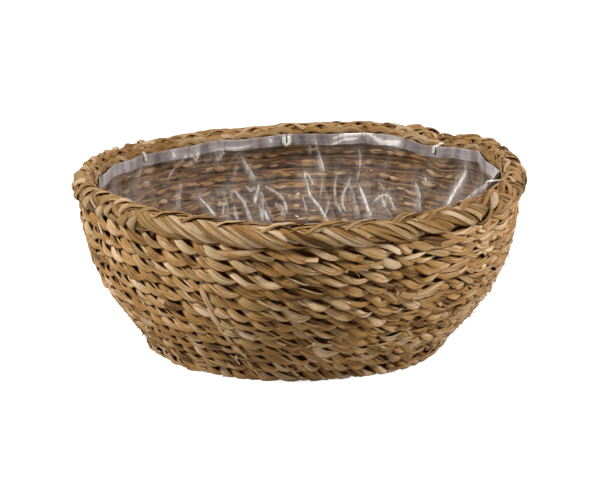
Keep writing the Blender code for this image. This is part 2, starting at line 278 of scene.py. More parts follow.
class Bowl:
    """The wall's middle line, the border's ring and the slow unevenness of handwork."""

    def __init__(self, shape):
        self.height = shape.height
        self.rim = shape.rim_radius
        self.top = shape.rim_radius - RIM_OVERHANG
        self.base = shape.base_radius
        self.fullness = shape.fullness
        self.stakes = shape.stake_count
        self.courses = shape.course_count
        self.turn = FULL / shape.stake_count
        self.lean = shape.lean
        self.seed = shape.seed
        self.tip = shape.border_height / 2
        self.ring_radius = self.rim - self.tip * cos(pi / 6)
        self.ring_height = self.height - self.tip
        self.hem_radius = self.rim - 2 * self.tip * cos(pi / 6) - CLEARANCE
        self.hem_top = self.ring_height + HEM_RISE
        share = np.linspace(-0.4, 1.4, 3601)
        radius, height, climb_r, climb_z = self.outside(share)
        radius = radius - HALF_WALL * climb_z
        height = height + HALF_WALL * climb_r
        end = self.height - 2 * self.tip + BORDER_NEST
        share = np.linspace(np.interp(BASE_LINE, height, share), np.interp(end, height, share), 400)
        radius, height, self.climb_r, self.climb_z = self.outside(share)
        self.line_r = radius - HALF_WALL * self.climb_z
        self.line_z = height + HALF_WALL * self.climb_r
        self.line = run_length(np.stack([self.line_r, self.line_z], axis=1))
        self.length = self.line[-1]
        self.pitch = self.length / self.courses
        rng = np.random.default_rng(shape.seed)
        self.foot_shift = rng.normal(0, 0.09, self.stakes)
        self.head_shift = rng.normal(0, 0.12, self.stakes)
        self.rise = Waves(rng, 0.8 * MM, (3, 13), 9)
        self.stir = Waves(rng, 0.9 * MM, (14, 40), 60)
        self.bulge = Waves(rng, 0.8 * MM, (3, 12), 8)
        self.ring_out = Waves(rng, 0.5 * MM, (4, 14), 0)
        self.ring_up = Waves(rng, 0.5 * MM, (4, 16), 0)

    def draws(self, *key):
        """The random draws of one piece, which its key sets."""
        return np.random.default_rng((self.seed, *key))

    def course_at(self, share):
        """The course at a share of the wall."""
        return min(int(share * self.courses), self.courses - 1)

    def lift(self, angle, sharp=1.0):
        """How far handwork has left the rim above or below its mean height."""
        slow = (0.4 - 0.25 * np.sin(angle) - 1.05 * np.cos(angle)
                - 1.2 * np.cos(2 * angle) - 1.1 * np.sin(2 * angle))
        height = np.minimum(slow + sharp * uneven(angle, RIM_CORNERS), HIGHEST_LIFT)
        return height * MM + self.ring_up(angle, 0)

    def spread(self, angle):
        """How far handwork has left the rim outside or inside its mean circle."""
        slow = 1.5 * np.cos(2 * angle) + 1.1 * np.cos(4 * angle) + 1.1 * np.sin(angle) - 1.2
        return (slow + uneven(angle, RIM_BULGES)) * MM + self.ring_out(angle, 0)

    def dent(self, angle, share):
        """How far the wall's lower right and left stand inside its mean outline."""
        around = np.degrees(angle) % 360
        right = 4.6 * bell(around, 84, 25) * bell(share, 0, 0.20)
        left = 2.8 * bell(around, 272, 32) * bell(share, 0.32, 0.20)
        foot = 1.8 * bell(around, 38, 18) * (1 - smooth(share * 6))
        return (right + left - foot) * MM

    def outside(self, share):
        """Radius and height of the wall's outside at a share of the height, and its climb."""
        spread = self.top - self.base
        left = np.maximum(0, 1 - share)
        climb_r = self.fullness * spread * left ** (self.fullness - 1)
        length = np.hypot(climb_r, self.height)
        return (self.top - spread * left ** self.fullness, self.height * share,
                climb_r / length, self.height / length)

    def section(self, climb, offset):
        """Radius and height of places on the wall, and the outward direction there."""
        out_r = np.interp(climb, self.line, self.climb_z)
        out_z = -np.interp(climb, self.line, self.climb_r)
        radius = np.interp(climb, self.line, self.line_r) + offset * out_r
        height = np.interp(climb, self.line, self.line_z) + offset * out_z
        return radius, height, out_r, out_z

    def wall(self, turn, climb, offset):
        """Points of the wall and their outward directions, with the handwork's unevenness."""
        turn = np.asarray(turn, dtype=float)
        share = climb / self.length
        foot = through_knots(self.foot_shift, turn, self.stakes)
        head = through_knots(self.head_shift, turn, self.stakes)
        angle = (turn + foot * (1 - share) + head * share) * self.turn + self.lean * (1 - share)
        fade = smooth(share * 6) * smooth((1 - share) * 6)
        climb = climb + (self.rise(angle, share) + self.stir(angle, share)) * fade
        offset = offset + self.bulge(angle, share) * smooth(share * 3) * (1 - 0.5 * share)
        offset = offset + FOOT_FLARE * (1 - smooth(share * 6)) - self.dent(angle, share)
        radius, height, out_r, out_z = self.section(climb, offset)
        high = np.clip(share, 0, 1) ** 1.5
        return (swing(angle, radius + high * self.spread(angle), height + high * self.lift(angle)),
                swing(angle, out_r, out_z))

    def turn_at(self, angle, share):
        """The turn of a place on the wall at an angle in degrees from the front to the right."""
        return (np.radians(angle) - self.lean * (1 - share)) / self.turn

    def floor(self, turn, reach, offset):
        """Points of the base at a distance from the middle, with the underside outward."""
        turn = np.asarray(turn, dtype=float)
        foot = through_knots(self.foot_shift, turn, self.stakes)
        angle = (turn + foot) * self.turn + self.lean
        raised = BASE_RISE * (1 - smooth((reach - self.base + 2 * FOOT_WIDTH) / FOOT_WIDTH))
        height = BASE_LINE + 0.35 * raised - offset
        down = np.zeros(np.shape(angle) + (3,))
        down[..., 2] = -1
        return swing(angle, reach, height), down

    def ring(self, turn, phase, reach):
        """Points in the border by phase round its roll: under, inside, over, outside."""
        angle = np.asarray(turn, dtype=float) * self.turn
        radius = self.ring_radius + self.spread(angle)
        height = self.ring_height + self.lift(angle)
        out_r, out_z = -np.sin(phase), -np.cos(phase)
        return (swing(angle, radius + reach * out_r, height + reach * out_z),
                swing(angle, out_r, out_z))


def placed(name, data):
    """A new object in the scene."""
    made = bpy.data.objects.new(name, data)
    bpy.context.collection.objects.link(made)
    return made


def store_masks(mesh, **masks):
    """Keeps values at a mesh's points, for its material to read."""
    for label, values in masks.items():
        layer = mesh.attributes.new(label, "FLOAT", "POINT")
        layer.data.foreach_set("value", np.ravel(values).astype(np.float32))


class Sheaf:
    """Collects grass leaves and makes one mesh of them."""

    # Points across a leaf, whose half width is 1: shares of the way to and from its fold on top,
    # then places underneath
    TOP_LEFT = np.array([0, 0.45])
    TOP_RIGHT = np.array([0.55, 1])
    UNDER = np.array([0.55, -0.55])
    TOP_SIDES = 5

    def __init__(self, rng):
        self.rng = rng
        self.points, self.faces, self.grain = [], [], []
        self.masks = {"tone": [], "edge": [], "kind": []}
        self.count = 0

    def leaf(self, path, out, width, thick, camber, tone, across=0, beside=0, roll=0, ridge=0.0, back=None):
        """Adds one leaf along a path, with its face toward the direction given by out.

        Arrays run along the leaf. Back is the tone of the other face, the same if not given.
        """
        rng = self.rng
        steps = len(path)
        along = unit(np.gradient(path, axis=0))
        out = unit(out - (out * along).sum(axis=1, keepdims=True) * along)
        side = np.cross(out, along)
        back = tone if back is None else back
        across, beside, roll, width, camber, ridge, thick, tone, back = [
            np.broadcast_to(value, steps)[:, None]
            for value in (across, beside, roll, width, camber, ridge, thick, tone, back)]
        centre = path + side * across + out * beside
        face = out * np.cos(roll) + side * np.sin(roll)
        side = side * np.cos(roll) - out * np.sin(roll)
        fold = rng.uniform(-0.5, 0.5)
        q = np.concatenate([-1 + (fold + 1) * self.TOP_LEFT, [fold], fold + (1 - fold) * self.TOP_RIGHT,
                            self.UNDER])
        height = camber * (1 - q * q) + ridge * np.maximum(0, 1 - np.abs(q - fold) / 0.7)
        height[:, self.TOP_SIDES:] -= thick
        ring = (centre[:, None, :] + side[:, None, :] * (q * width / 2)[:, :, None]
                + face[:, None, :] * height[:, :, None])
        ring[:, :, 2] = np.clip(ring[:, :, 2], GROUND, CAD_HEIGHT + CREST_ROOM)
        sides = len(q)
        grain = np.empty((steps, sides, 2))
        grain[:, :, 0] = q * width / 2 + rng.uniform(0, 1)
        grain[:, :, 1] = run_length(path)[:, None] + rng.uniform(0, 3)
        index = self.count + np.arange(steps * sides).reshape(steps, sides)
        self.faces.extend(grid_quads(index))
        self.faces.append(index[0].tolist())
        self.faces.append(index[-1, ::-1].tolist())
        self.points.append(ring.reshape(-1, 3))
        self.grain.append(grain.reshape(-1, 2))
        self.masks["tone"].append(np.where(np.arange(sides) < self.TOP_SIDES, tone, back).ravel())
        self.masks["edge"].append(np.broadcast_to(np.abs(q), (steps, sides)).ravel())
        self.masks["kind"].append(np.full(steps * sides, rng.uniform()))
        self.count += steps * sides

    def object(self, name, finish):
        """The mesh of all the leaves as a named object."""
        mesh = bpy.data.meshes.new(name)
        mesh.from_pydata(np.concatenate(self.points).tolist(), [], self.faces)
        corners = np.empty(len(mesh.loops), dtype=np.int32)
        mesh.loops.foreach_get("vertex_index", corners)
        layer = mesh.uv_layers.new(name="grain")
        layer.uv.foreach_set("vector", np.concatenate(self.grain)[corners].ravel())
        store_masks(mesh, **{label: np.concatenate(parts) for label, parts in self.masks.items()})
        mesh.shade_smooth()
        mesh.set_sharp_from_angle(angle=SHARP_EDGE)
        mesh.materials.append(finish)
        return placed(name, mesh)


def ripple(rng, place, size, low=0.5, high=2.5):
    """A small smooth unevenness along a leaf."""
    total = 0
    for _ in range(3):
        total = total + np.sin(place * rng.uniform(low, high) * pi + rng.uniform(0, FULL))
    return total * size / 1.7


# Leaves of a strand: lag in stake spacings, shift across and width as shares of the course's
# height, distance outward in mm, tilt in degrees, thickness in mm
STRAND_LEAVES = (
    (-0.25, 0.00, 0.74, 0.00, 18, 0.42),
    (0.25, 0.00, 0.74, 0.15, 18, 0.42),
    (0.04, 0.10, 0.28, 0.25, 4, 0.40),
    (0.00, 0.00, 0.55, -1.90, 0, 1.30),
)
# How far a leaf runs on past its last stake, and the length over which it narrows there
LEAF_OVERLAP = 0.35
LEAF_TAPER = 0.3
# How deep a strand swings round a stake, and how far it falls there as a share of its course
WALL_DEPTH, WALL_DROP = 3.0 * MM, 0.46
BASE_DEPTH, BASE_DROP = 2.8 * MM, 0.3
BASE_RING = 8.6 * MM
BASE_STEP = 0.19


def twine(sheaf, place_on, stakes, middle, pitch, depth, drop, step=0.1):
    """One strand twice round an odd number of stakes, outside every second one.

    place_on gives points and outward directions for turns, climbs and offsets. A leaf comes
    out steeply from above, lies lower over its stake and tucks in under the next leaf's head.
    """
    rng = sheaf.rng
    rounds = 2 * stakes
    for lag, across, wide, outward, tilt, thick in STRAND_LEAVES:
        lags = lag + rng.normal(0, 0.08, rounds)
        shifts = across * pitch + rng.normal(0, 0.065 * pitch, rounds)
        heights = outward * MM + rng.normal(0, 0.36 * MM, rounds)
        widths = wide * pitch * rng.uniform(0.62, 1.14, rounds)
        rolls = radians(tilt) + rng.normal(0, radians(12), rounds)
        shades = rng.normal(0, 0.19, rounds)
        cambers = rng.uniform(0.05, 0.17, rounds)
        start = rng.uniform(0, 4)
        last = start + rounds
        while start < last:
            end = min(start + rng.uniform(6, 17), last)
            if last - end < 3:
                end = last
            place = np.arange(start - LEAF_OVERLAP, end + LEAF_OVERLAP, step)
            late, shift, above, width, roll, shade, camber = [
                through_knots(values, place, rounds)
                for values in (lags, shifts, heights, widths, rolls, shades, cambers)]
            at = place - late
            wave = np.cos(pi * (at + 0.10))
            outer = np.sign(wave) * np.abs(wave) ** 0.85
            fall = 0.52 * np.sin(pi * at) + 0.42 * np.cos(2 * pi * at)
            squeeze = 0.13 + 0.87 * np.abs(np.cos(pi * (at + 0.17))) ** 1.1
            calm = 1 - 0.5 * bell(place % stakes * 360 / stakes, 72, 34)
            sink = drop * calm * fall
            rib = 0.5 * MM * np.cos(FULL * sink / pitch)
            path, out = place_on(place, middle - sink, depth * outer + rib)
            flip = outer / (0.25 + np.abs(outer)) * 1.25
            shade = 0.52 + rng.normal(0, 0.10) + shade
            # The thick core leaf gets a much lower tone: painted shade deep inside the strand.
            if thick > 1:
                shade = shade - 0.55
            # Painted shade in the gaps: a leaf's outer face darkens where it swings in behind a stake, and
            # its inner face where it lies outward.
            seen = smooth(outer * 1.3 + 0.26)
            ends = np.minimum(place - start, end - place) + LEAF_OVERLAP
            width = width * squeeze * (0.35 + 0.65 * smooth(ends / LEAF_TAPER))
            sheaf.leaf(
                path, out, width, thick * MM, camber=camber * width * flip,
                tone=shade - 0.85 * (1 - seen), back=shade + 0.05 - 0.6 * seen,
                across=shift * squeeze + ripple(rng, place, 0.15 * MM),
                beside=above * flip * squeeze + ripple(rng, place, 0.12 * MM),
                roll=roll * flip, ridge=rng.uniform(-0.3, 0.5) * MM * flip)
            start = end


def packing(sheaf, place_on, stakes, middle, width, offset, tone=-0.5):
    """A dark inner leaf between two rounds, which closes the gaps behind the strands.

    Its dark tone is painted shade in those gaps.
    """
    rng = sheaf.rng
    place = np.arange(-0.3, stakes + 0.3, 0.25)
    path, out = place_on(place, middle + ripple(rng, place, 0.3 * MM), offset)
    sheaf.leaf(path, out, width + ripple(rng, place, 0.5 * MM, 1, 4), 0.5 * MM, camber=0.3 * MM,
               tone=tone + ripple(rng, place, 0.2, 0.5, 3), ridge=0.2 * MM)


# Stubs and loose leaves that each course has
STUBS = 13
LOOSE_LEAVES = 26


def stubs(sheaf, bowl, course):
    """Short cut ends and stray fibres that stand out of a course here and there."""
    rng = sheaf.rng
    share = np.linspace(0, 1, 8)
    for number in range(STUBS):
        turn = rng.uniform(0, bowl.stakes) if number % 3 else rng.normal(6.0, 1.6)
        thin = rng.uniform() < 0.5
        run = rng.uniform(0.25, 0.9) if thin else rng.uniform(0.15, 0.45)
        lift = rng.uniform(0.8, 3.4) * MM if thin else rng.uniform(0.4, 1.8) * MM
        fall = share * rng.uniform(-0.3, 0.7) * bowl.pitch
        climb = (course + 0.5) * bowl.pitch + rng.uniform(-0.35, 0.35) * bowl.pitch - fall
        path, out = bowl.wall(turn + run * share, climb, 3.0 * MM + lift * share ** 1.6)
        width = rng.uniform(0.4, 0.9) * MM if thin else rng.uniform(1.6, 3.4) * MM
        sheaf.leaf(path, out, width, 0.3 * MM, camber=0.12 * width, tone=rng.normal(0.6, 0.2),
                   roll=rng.normal(0, 0.5))


def stake_line(bowl, place, start):
    """A stake's line from the base up the wall, with its outward directions."""
    corner = bowl.section(np.array([0.0]), 0)[0][0]
    reach = np.linspace(start, corner, max(3, int((corner - start) / (3 * MM))))[:-1]
    low, low_out = bowl.floor(np.full(len(reach), float(place)), reach, 0)
    climb = np.linspace(0, bowl.length - BORDER_NEST, 44)
    high, high_out = bowl.wall(np.full(len(climb), float(place)), climb, 0)
    path = evened(np.concatenate([low, high]), 2)
    out = evened(np.concatenate([low_out, high_out]), 2)
    return path, unit(out)


# Leaves laid across the weave: angle in degrees and share of the wall at both ends, width in mm
# and roll in degrees
LAID_LEAVES = (
    (-26.5, 0.75, -22.5, 0.58, 4.2, 0),
    (-25.0, 0.61, -20.5, 0.44, 4.2, 8),
    (-23.5, 0.50, -19.5, 0.34, 3.6, -8),
    (-22.0, 0.45, -18.0, 0.28, 3.6, 6),
    (-20.0, 0.36, -16.0, 0.19, 4.2, 0),
    (-17.5, 0.18, -13.0, 0.04, 2.6, 0),
    (77.0, 1.00, 70.0, 0.80, 9.0, -35),
    (-63.0, 0.98, -58.5, 0.86, 4.2, 0),
)
# Knots and frayed ends: angle in degrees, share of the wall, number of ends, their length in mm
FRAYED_ENDS = (
    (-20, 0.21, 7, 6.5),
    (-17, 0.22, 4, 5.0),
    (13, 0.87, 5, 5.0),
    (24, 0.70, 3, 6.0),
    (10, 0.43, 2, 4.5),
    (5, 0.34, 2, 5.0),
    (58, 0.07, 4, 6.0),
    (-88, 0.20, 2, 7.0),
    (-68, 0.82, 3, 6.0),
    (45, 0.02, 3, 6.0),
    (-26, 0.00, 2, 8.0),
    (52, 0.45, 4, 6.0),
    (60, 0.62, 4, 6.0),
)


LAID_STEPS = 16
# Mean radius of the wall
MEAN_RADIUS = 0.14


def laid(sheaf, bowl, course):
    """The leaves and frayed ends that start in a course and lie over the weave."""
    rng = sheaf.rng
    share = np.linspace(0, 1, LAID_STEPS)
    for first, high, last, low, width, roll in LAID_LEAVES:
        if bowl.course_at(high) == course:
            climb = high + (low - high) * share
            turn = bowl.turn_at(first + (last - first) * share, climb)
            path, out = bowl.wall(turn, climb * bowl.length, (1.8 + 2.3 * arch(share, 0.5)) * MM)
            broad = width * MM * (0.3 + 0.7 * arch(share, 0.7))
            sheaf.leaf(path, out, broad, 0.4 * MM, camber=0.1 * broad, tone=rng.normal(0.68, 0.1),
                       roll=radians(roll) + rng.normal(0, 0.1))
    for number in range(LOOSE_LEAVES):
        angle = rng.normal(60, 19) if number % 6 else rng.uniform(70, 350)
        low = (course + rng.uniform(0.0, 1.0)) / bowl.courses
        run, slant = rng.uniform(6, 15), rng.normal(0.02, 0.025)
        climb = low + slant * (share - 0.5) - 0.012 * arch(share)
        turn = bowl.turn_at(angle + run * share, climb)
        path, out = bowl.wall(turn, climb * bowl.length, (1.9 + 2.0 * arch(share, 0.6)) * MM)
        broad = rng.uniform(2.2, 4.6) * MM * (0.15 + 0.85 * arch(share ** rng.uniform(0.7, 1.3), 0.8))
        sheaf.leaf(path, out, broad, 0.35 * MM, camber=0.08 * broad, tone=rng.normal(0.62, 0.16),
                   roll=rng.normal(0.15, 0.2), ridge=rng.uniform(-0.2, 0.2) * MM)
    for angle, place, count, length in FRAYED_ENDS:
        if bowl.course_at(place) == course:
            for _ in range(count):
                way = rng.uniform(0, FULL)
                bend = rng.normal(0, 1.2)
                run = length * rng.uniform(0.5, 1.3) * MM
                heading = way + bend * share
                aside = np.cumsum(np.cos(heading)) * run / LAID_STEPS + rng.normal(0, 1.5 * MM)
                climb = place * bowl.length + np.cumsum(np.sin(heading)) * run / LAID_STEPS
                climb = np.maximum(climb + rng.normal(0, 1.2 * MM), 0)
                turn = bowl.turn_at(angle, place) + aside / (MEAN_RADIUS * bowl.turn)
                path, out = bowl.wall(turn, climb, (3.6 + rng.uniform(0.8, 2.2) * share) * MM)
                broad = rng.uniform(0.9, 2.6) * MM * (1 - 0.3 * share)
                sheaf.leaf(path, out, broad, 0.3 * MM, camber=0.15 * broad, tone=rng.normal(0.8, 0.2),
                           roll=rng.normal(0, 0.5))


# Leaves of a rolled end: phase to the side in degrees, reach, width and thickness in mm, tilt in degrees
ROLL_LEAVES = (
    (0, 4.5, 6.4, 2.8, 0),
    (-36, 6.9, 5.2, 0.5, 20),
    (-10, 7.5, 4.6, 0.5, 12),
    (16, 7.5, 4.6, 0.5, 6),
    (38, 7.0, 4.4, 0.5, -4),
    (3, 7.8, 1.8, 0.4, 4),
)
# Stake spacings in which a rolled end winds once round the border
ROLL_SPACINGS = 3
# How far over the solids' crest plaited leaves and knuckles may stand
CREST_TOP = 1.6 * MM
KNUCKLE_TOP = 1.4 * MM
# Reach of a plaited leaf's ends, in mm
CREST_FOOT = 5.2
# Leaves plaited over the crest: start in stake spacings, reach at the crown and width in mm,
# phase at the start, the crown and the end in degrees, and how much higher the crown is at the
# front than at the back, in mm
CREST_LEAVES = (
    (-0.06, 10.0, 2.6, 240, 198, 152, 3.4),
    (0.00, 9.2, 3.0, 228, 186, 144, 2.8),
    (0.06, 8.0, 4.2, 236, 190, 150, 2.0),
    (0.48, 7.0, 4.6, 240, 200, 160, 1.0),
    (0.10, 7.8, 4.4, 112, 172, 128, 0.6),
    (0.62, 7.5, 4.0, 108, 166, 124, 0.6),
    (0.36, 7.6, 4.2, 86, 122, 92, 0.0),
    (0.88, 7.4, 3.8, 84, 118, 90, 0.0),
)


def border_roll(sheaf, bowl, place):
    """The stake's end rolled round the rim, and the thinner leaves plaited over the crest."""
    rng = sheaf.rng
    lift, stray = rng.normal(0, 0.3 * MM), rng.normal(0, 0.06)
    top, _ = bowl.wall(np.array([float(place)]), np.array([bowl.length - BORDER_NEST]), 0)
    for aside, reach, width, thick, tilt in ROLL_LEAVES:
        end = rng.uniform(3.02, 3.32) + stray
        step = np.linspace(0, end, 50)
        closing = smooth((step - end + 0.5) / 0.5)
        fan = smooth(step / 0.8) * (1 - 0.45 * smooth((step - end + 0.6) / 0.6))
        phase = (step - BORDER_LEAD) * FULL / ROLL_SPACINGS + radians(aside + rng.normal(0, 5)) * fan
        phase = phase + radians(24) * smooth(step / 1.5) * (1 - smooth((step - 1.6) / 1.6))
        phase = phase + ripple(rng, step, radians(5.0), 0.6, 1.6)
        inside = smooth((np.degrees(phase) - 5) / 30) * (1 - smooth((np.degrees(phase) - 165) / 55))
        height = (reach * MM + lift) * (0.55 + 0.45 * smooth(step / 0.7)) * (1 - 0.22 * inside)
        height = height - 2.2 * MM * closing + ripple(rng, step, 0.3 * MM, 0.6, 1.8)
        path, out = bowl.ring(place + step, phase, height)
        rise = smooth(step / 0.4)[:, None]
        path = top * (1 - rise) + path * rise
        shade = 0.58 + rng.normal(0, 0.20) + ripple(rng, step, 0.06, 0.5, 1.4)
        # Painted shade: the roll's leaves darken at both sides, where knuckles lie over them, for dark gaps
        # between the knuckles; the thick core darkens more.
        shade = shade - 0.32 * smooth((np.abs(np.sin((place + step) * bowl.turn)) - 0.74) / 0.12)
        if thick > 1:
            shade = shade - 0.5
        broad = width * MM * rng.uniform(0.82, 1.1)
        broad = broad * (0.55 + 0.45 * smooth(step / 0.9)) * (1 - 0.6 * closing)
        sheaf.leaf(path, out, broad, thick * MM, camber=0.15 * broad, tone=shade,
                   roll=radians(tilt) + ripple(rng, step, 0.16, 0.5, 1.3),
                   ridge=rng.uniform(-0.2, 0.3) * MM)
    knuckles(sheaf, bowl, place)
    share = np.linspace(0, 1, 26)
    stray = rng.normal(0, 0.05)
    rear = 0.5 - 0.5 * cos(place * bowl.turn)
    for start, reach, width, first, crown, last, lower in CREST_LEAVES:
        run = rng.uniform(1.15, 1.35)
        step = start + stray + rng.normal(0, 0.04) + run * share
        phase = first + (crown - first) * smooth(2 * share) + (last - crown) * smooth(2 * share - 1)
        phase = np.radians(phase + rng.normal(0, 4))
        height = (reach - lower * rear - CREST_FOOT) * MM + 0.7 * lift
        height = CREST_FOOT * MM + height * arch(share, 0.8)
        path, out = bowl.ring(place + step, phase, height + ripple(rng, step, 0.15 * MM, 0.8, 2.2))
        path[:, 2] = np.minimum(path[:, 2], bowl.height + CREST_TOP)
        broad = width * MM * rng.uniform(0.85, 1.15)
        broad = broad * (0.45 + 0.55 * smooth(4 * share) * smooth(4 * (1 - share)))
        sheaf.leaf(path, out, broad, 0.4 * MM, camber=0.16 * broad, tone=rng.normal(0.5, 0.18),
                   roll=rng.normal(0, 0.12) + ripple(rng, step, 0.12, 0.5, 1.5),
                   ridge=rng.uniform(-0.2, 0.3) * MM)


# Knuckles in a stake's space: start in spacings, phase at the start and at the end in degrees
KNUCKLES = ((0.0, 345, 262), (0.5, 318, 232), (0.25, 255, 178), (0.75, 235, 160))
# Sine of the angle beyond which knuckles stand, at both sides
KNUCKLE_SIDES = 0.72


def knuckles(sheaf, bowl, place):
    """Short fat leaves folded over the roll at both sides of the basket."""
    if abs(sin(place * bowl.turn)) < KNUCKLE_SIDES:
        return
    rng = sheaf.rng
    share = np.linspace(0, 1, 20)
    for start, first, last in KNUCKLES:
        step = place + start + rng.normal(0, 0.08) + rng.uniform(0.30, 0.60) * share
        phase = np.radians(first + (last - first) * share + rng.normal(0, 7))
        path, out = bowl.ring(step, phase, (6.2 + rng.uniform(1.6, 2.3) * arch(share, 0.6)) * MM)
        path[:, 2] = np.minimum(path[:, 2], bowl.height + KNUCKLE_TOP)
        broad = rng.uniform(5.0, 7.6) * MM * (0.3 + 0.7 * arch(share, 0.8))
        sheaf.leaf(path, out, broad, 0.5 * MM, camber=0.26 * broad, tone=rng.normal(0.6, 0.16),
                   roll=rng.normal(0, 0.2), ridge=rng.uniform(-0.2, 0.3) * MM)


def attach(piece, slot, *nodes):
    """Rides a finished piece on the basket's body in place of its CAD nodes."""
    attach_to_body(piece, "root")
    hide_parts(*nodes)
    return piece


class Nodes:
    """Adds nodes to a shader tree and joins them."""

    def __init__(self, tree):
        self.tree = tree

    def new(self, kind, **settings):
        """A node with its settings."""
        node = self.tree.nodes.new("ShaderNode" + kind)
        for label, value in settings.items():
            setattr(node, label, value)
        return node

    def feed(self, sockets, **values):
        """Joins sockets to outputs, or sets their numbers and colours, by name with _ for a space."""
        for label, value in values.items():
            self.join(sockets[label.replace("_", " ")], value)

    def join(self, socket, value):
        """Joins a socket to an output, or sets its number, vector or colour."""
        if isinstance(value, bpy.types.NodeSocket):
            self.tree.links.new(value, socket)
        else:
            socket.default_value = (*value, 1) if socket.type == "RGBA" else value

    def math(self, operation, first, second, clamp=False):
        """One operation on two outputs or numbers."""
        node = self.new("Math", operation=operation, use_clamp=clamp)
        self.join(node.inputs[0], first)
        self.join(node.inputs[1], second)
        return node.outputs[0]

    def plus(self, first, second, clamp=False):
        """One value and another."""
        return self.math("ADD", first, second, clamp)

    def times(self, first, second):
        """One value times another."""
        return self.math("MULTIPLY", first, second)

    def mix(self, factor, first, second):
        """A mix of two colours."""
        node = self.new("Mix", data_type="RGBA")
        for label, value in (("Factor", factor), ("A", first), ("B", second)):
            self.join([found for found in node.inputs if found.name == label and found.enabled][0], value)
        return [found for found in node.outputs if found.enabled][0]

    def band(self, value, low, high):
        """A value carried smoothly from low..high to 0..1."""
        node = self.new("MapRange", interpolation_type="SMOOTHSTEP")
        self.feed(node.inputs, Value=value, From_Min=low, From_Max=high)
        return node.outputs["Result"]

    def noise(self, place, scale, detail, roughness=0.5, dimensions="3D"):
        """Noise over a map, with a scale of its own each way."""
        stretch = self.new("VectorMath", operation="MULTIPLY")
        self.join(stretch.inputs[0], place)
        self.join(stretch.inputs[1], scale)
        node = self.new("TexNoise", noise_dimensions=dimensions)
        self.feed(node.inputs, Vector=stretch.outputs[0], Scale=1, Detail=detail, Roughness=roughness)
        return node.outputs["Fac"]

    def mask(self, label):
        """A value kept at the mesh's points."""
        return self.new("Attribute", attribute_name=label).outputs["Fac"]

    def grain(self):
        """The map that runs along each leaf."""
        return self.new("UVMap", uv_map="grain").outputs["UV"]

    def bump(self, height, distance, strength):
        """The normal of a surface with the bumps of a height map."""
        node = self.new("Bump")
        self.feed(node.inputs, Height=height, Distance=distance, Strength=strength)
        return node.outputs["Normal"]

    def seen(self):
        """1 for what the camera sees, straight on, in gloss or through a clear film."""
        path = self.new("LightPath").outputs
        either = self.math("MAXIMUM", path["Is Camera Ray"], path["Is Glossy Ray"])
        return self.math("MAXIMUM", either, path["Is Transmission Ray"])


def new_finish(name):
    """A material, its nodes and the inputs of its shader."""
    made = bpy.data.materials.new(name)
    made.use_nodes = True
    return made, Nodes(made.node_tree), made.node_tree.nodes["Principled BSDF"].inputs


GRASS_COLOURS = ("Pale", "Straw", "Brown", "Rust", "Sage")
WEAVE_TINT = (1, 1, 1)
STAKE_TINT = (0.82, 0.825, 0.83)
BASE_TINT = (0.95, 0.94, 0.92)
# Noises over the grain map: scale across and along the leaf, detail and roughness
GRASS_NOISES = (
    (1500, 30, 3, 0.6),
    (620, 22, 2, 0.55),
    (160, 75, 3, 0.6),
    (900, 420, 2, 0.55),
    (60, 28, 2, 0.55),
)


def grass_group():
    """Fibre lines, blotches and leaf margins of dry grass, from the grain map and three masks.

    The darkest band at each leaf's edge is partly browned margin and partly painted shadow where leaves
    overlap.
    """
    name = "Dry Grass"
    if name in bpy.data.node_groups:
        return bpy.data.node_groups[name]
    tree = bpy.data.node_groups.new(name, "ShaderNodeTree")
    for way, kind, labels in (
            ("INPUT", "Vector", ("Grain",)), ("INPUT", "Float", ("Tone", "Edge", "Kind")),
            ("INPUT", "Color", GRASS_COLOURS),
            ("OUTPUT", "Color", ("Colour",)), ("OUTPUT", "Float", ("Roughness", "Height"))):
        for label in labels:
            tree.interface.new_socket(name=label, in_out=way, socket_type="NodeSocket" + kind)
    nodes = Nodes(tree)
    start = tree.nodes.new("NodeGroupInput").outputs
    fine, broad, patch, speck, worn = [
        nodes.noise(start["Grain"], (across, along, 1), detail, roughness, "2D")
        for across, along, detail, roughness in GRASS_NOISES]
    level = start["Tone"]
    for texture, amount in ((fine, 1.1), (broad, 0.70), (patch, 0.60)):
        level = nodes.plus(level, nodes.times(nodes.math("SUBTRACT", texture, 0.5), amount))
    body = nodes.mix(nodes.band(level, 0.02, 0.50), start["Brown"], start["Straw"])
    body = nodes.mix(nodes.band(level, 0.50, 1.05), body, start["Pale"])
    grey = nodes.math("SUBTRACT", 1.0, nodes.band(start["Kind"], 0.10, 0.24))
    grey = nodes.math("MAXIMUM", nodes.times(grey, 0.7), nodes.band(worn, 0.58, 0.75))
    margin = nodes.times(nodes.band(start["Edge"], 0.58, 0.95), nodes.band(patch, 0.20, 0.50))
    # The band at each leaf's very edge mixed toward brown is partly browned margin and partly painted shadow
    # where leaves overlap.
    for mask, amount, colour in (
            (grey, 0.45, "Sage"), (nodes.band(start["Kind"], 0.80, 0.95), 0.28, "Rust"),
            (margin, 0.6, "Rust"), (nodes.band(start["Edge"], 0.80, 1.0), 0.85, "Brown"),
            (nodes.band(speck, 0.66, 0.74), 0.55, "Brown")):
        body = nodes.mix(nodes.times(mask, amount), body, start[colour])
    nodes.feed(tree.nodes.new("NodeGroupOutput").inputs, Colour=body,
               Roughness=nodes.plus(0.50, nodes.times(patch, 0.28)),
               Height=nodes.plus(nodes.times(fine, 0.6), nodes.times(broad, 0.8)))
    return tree


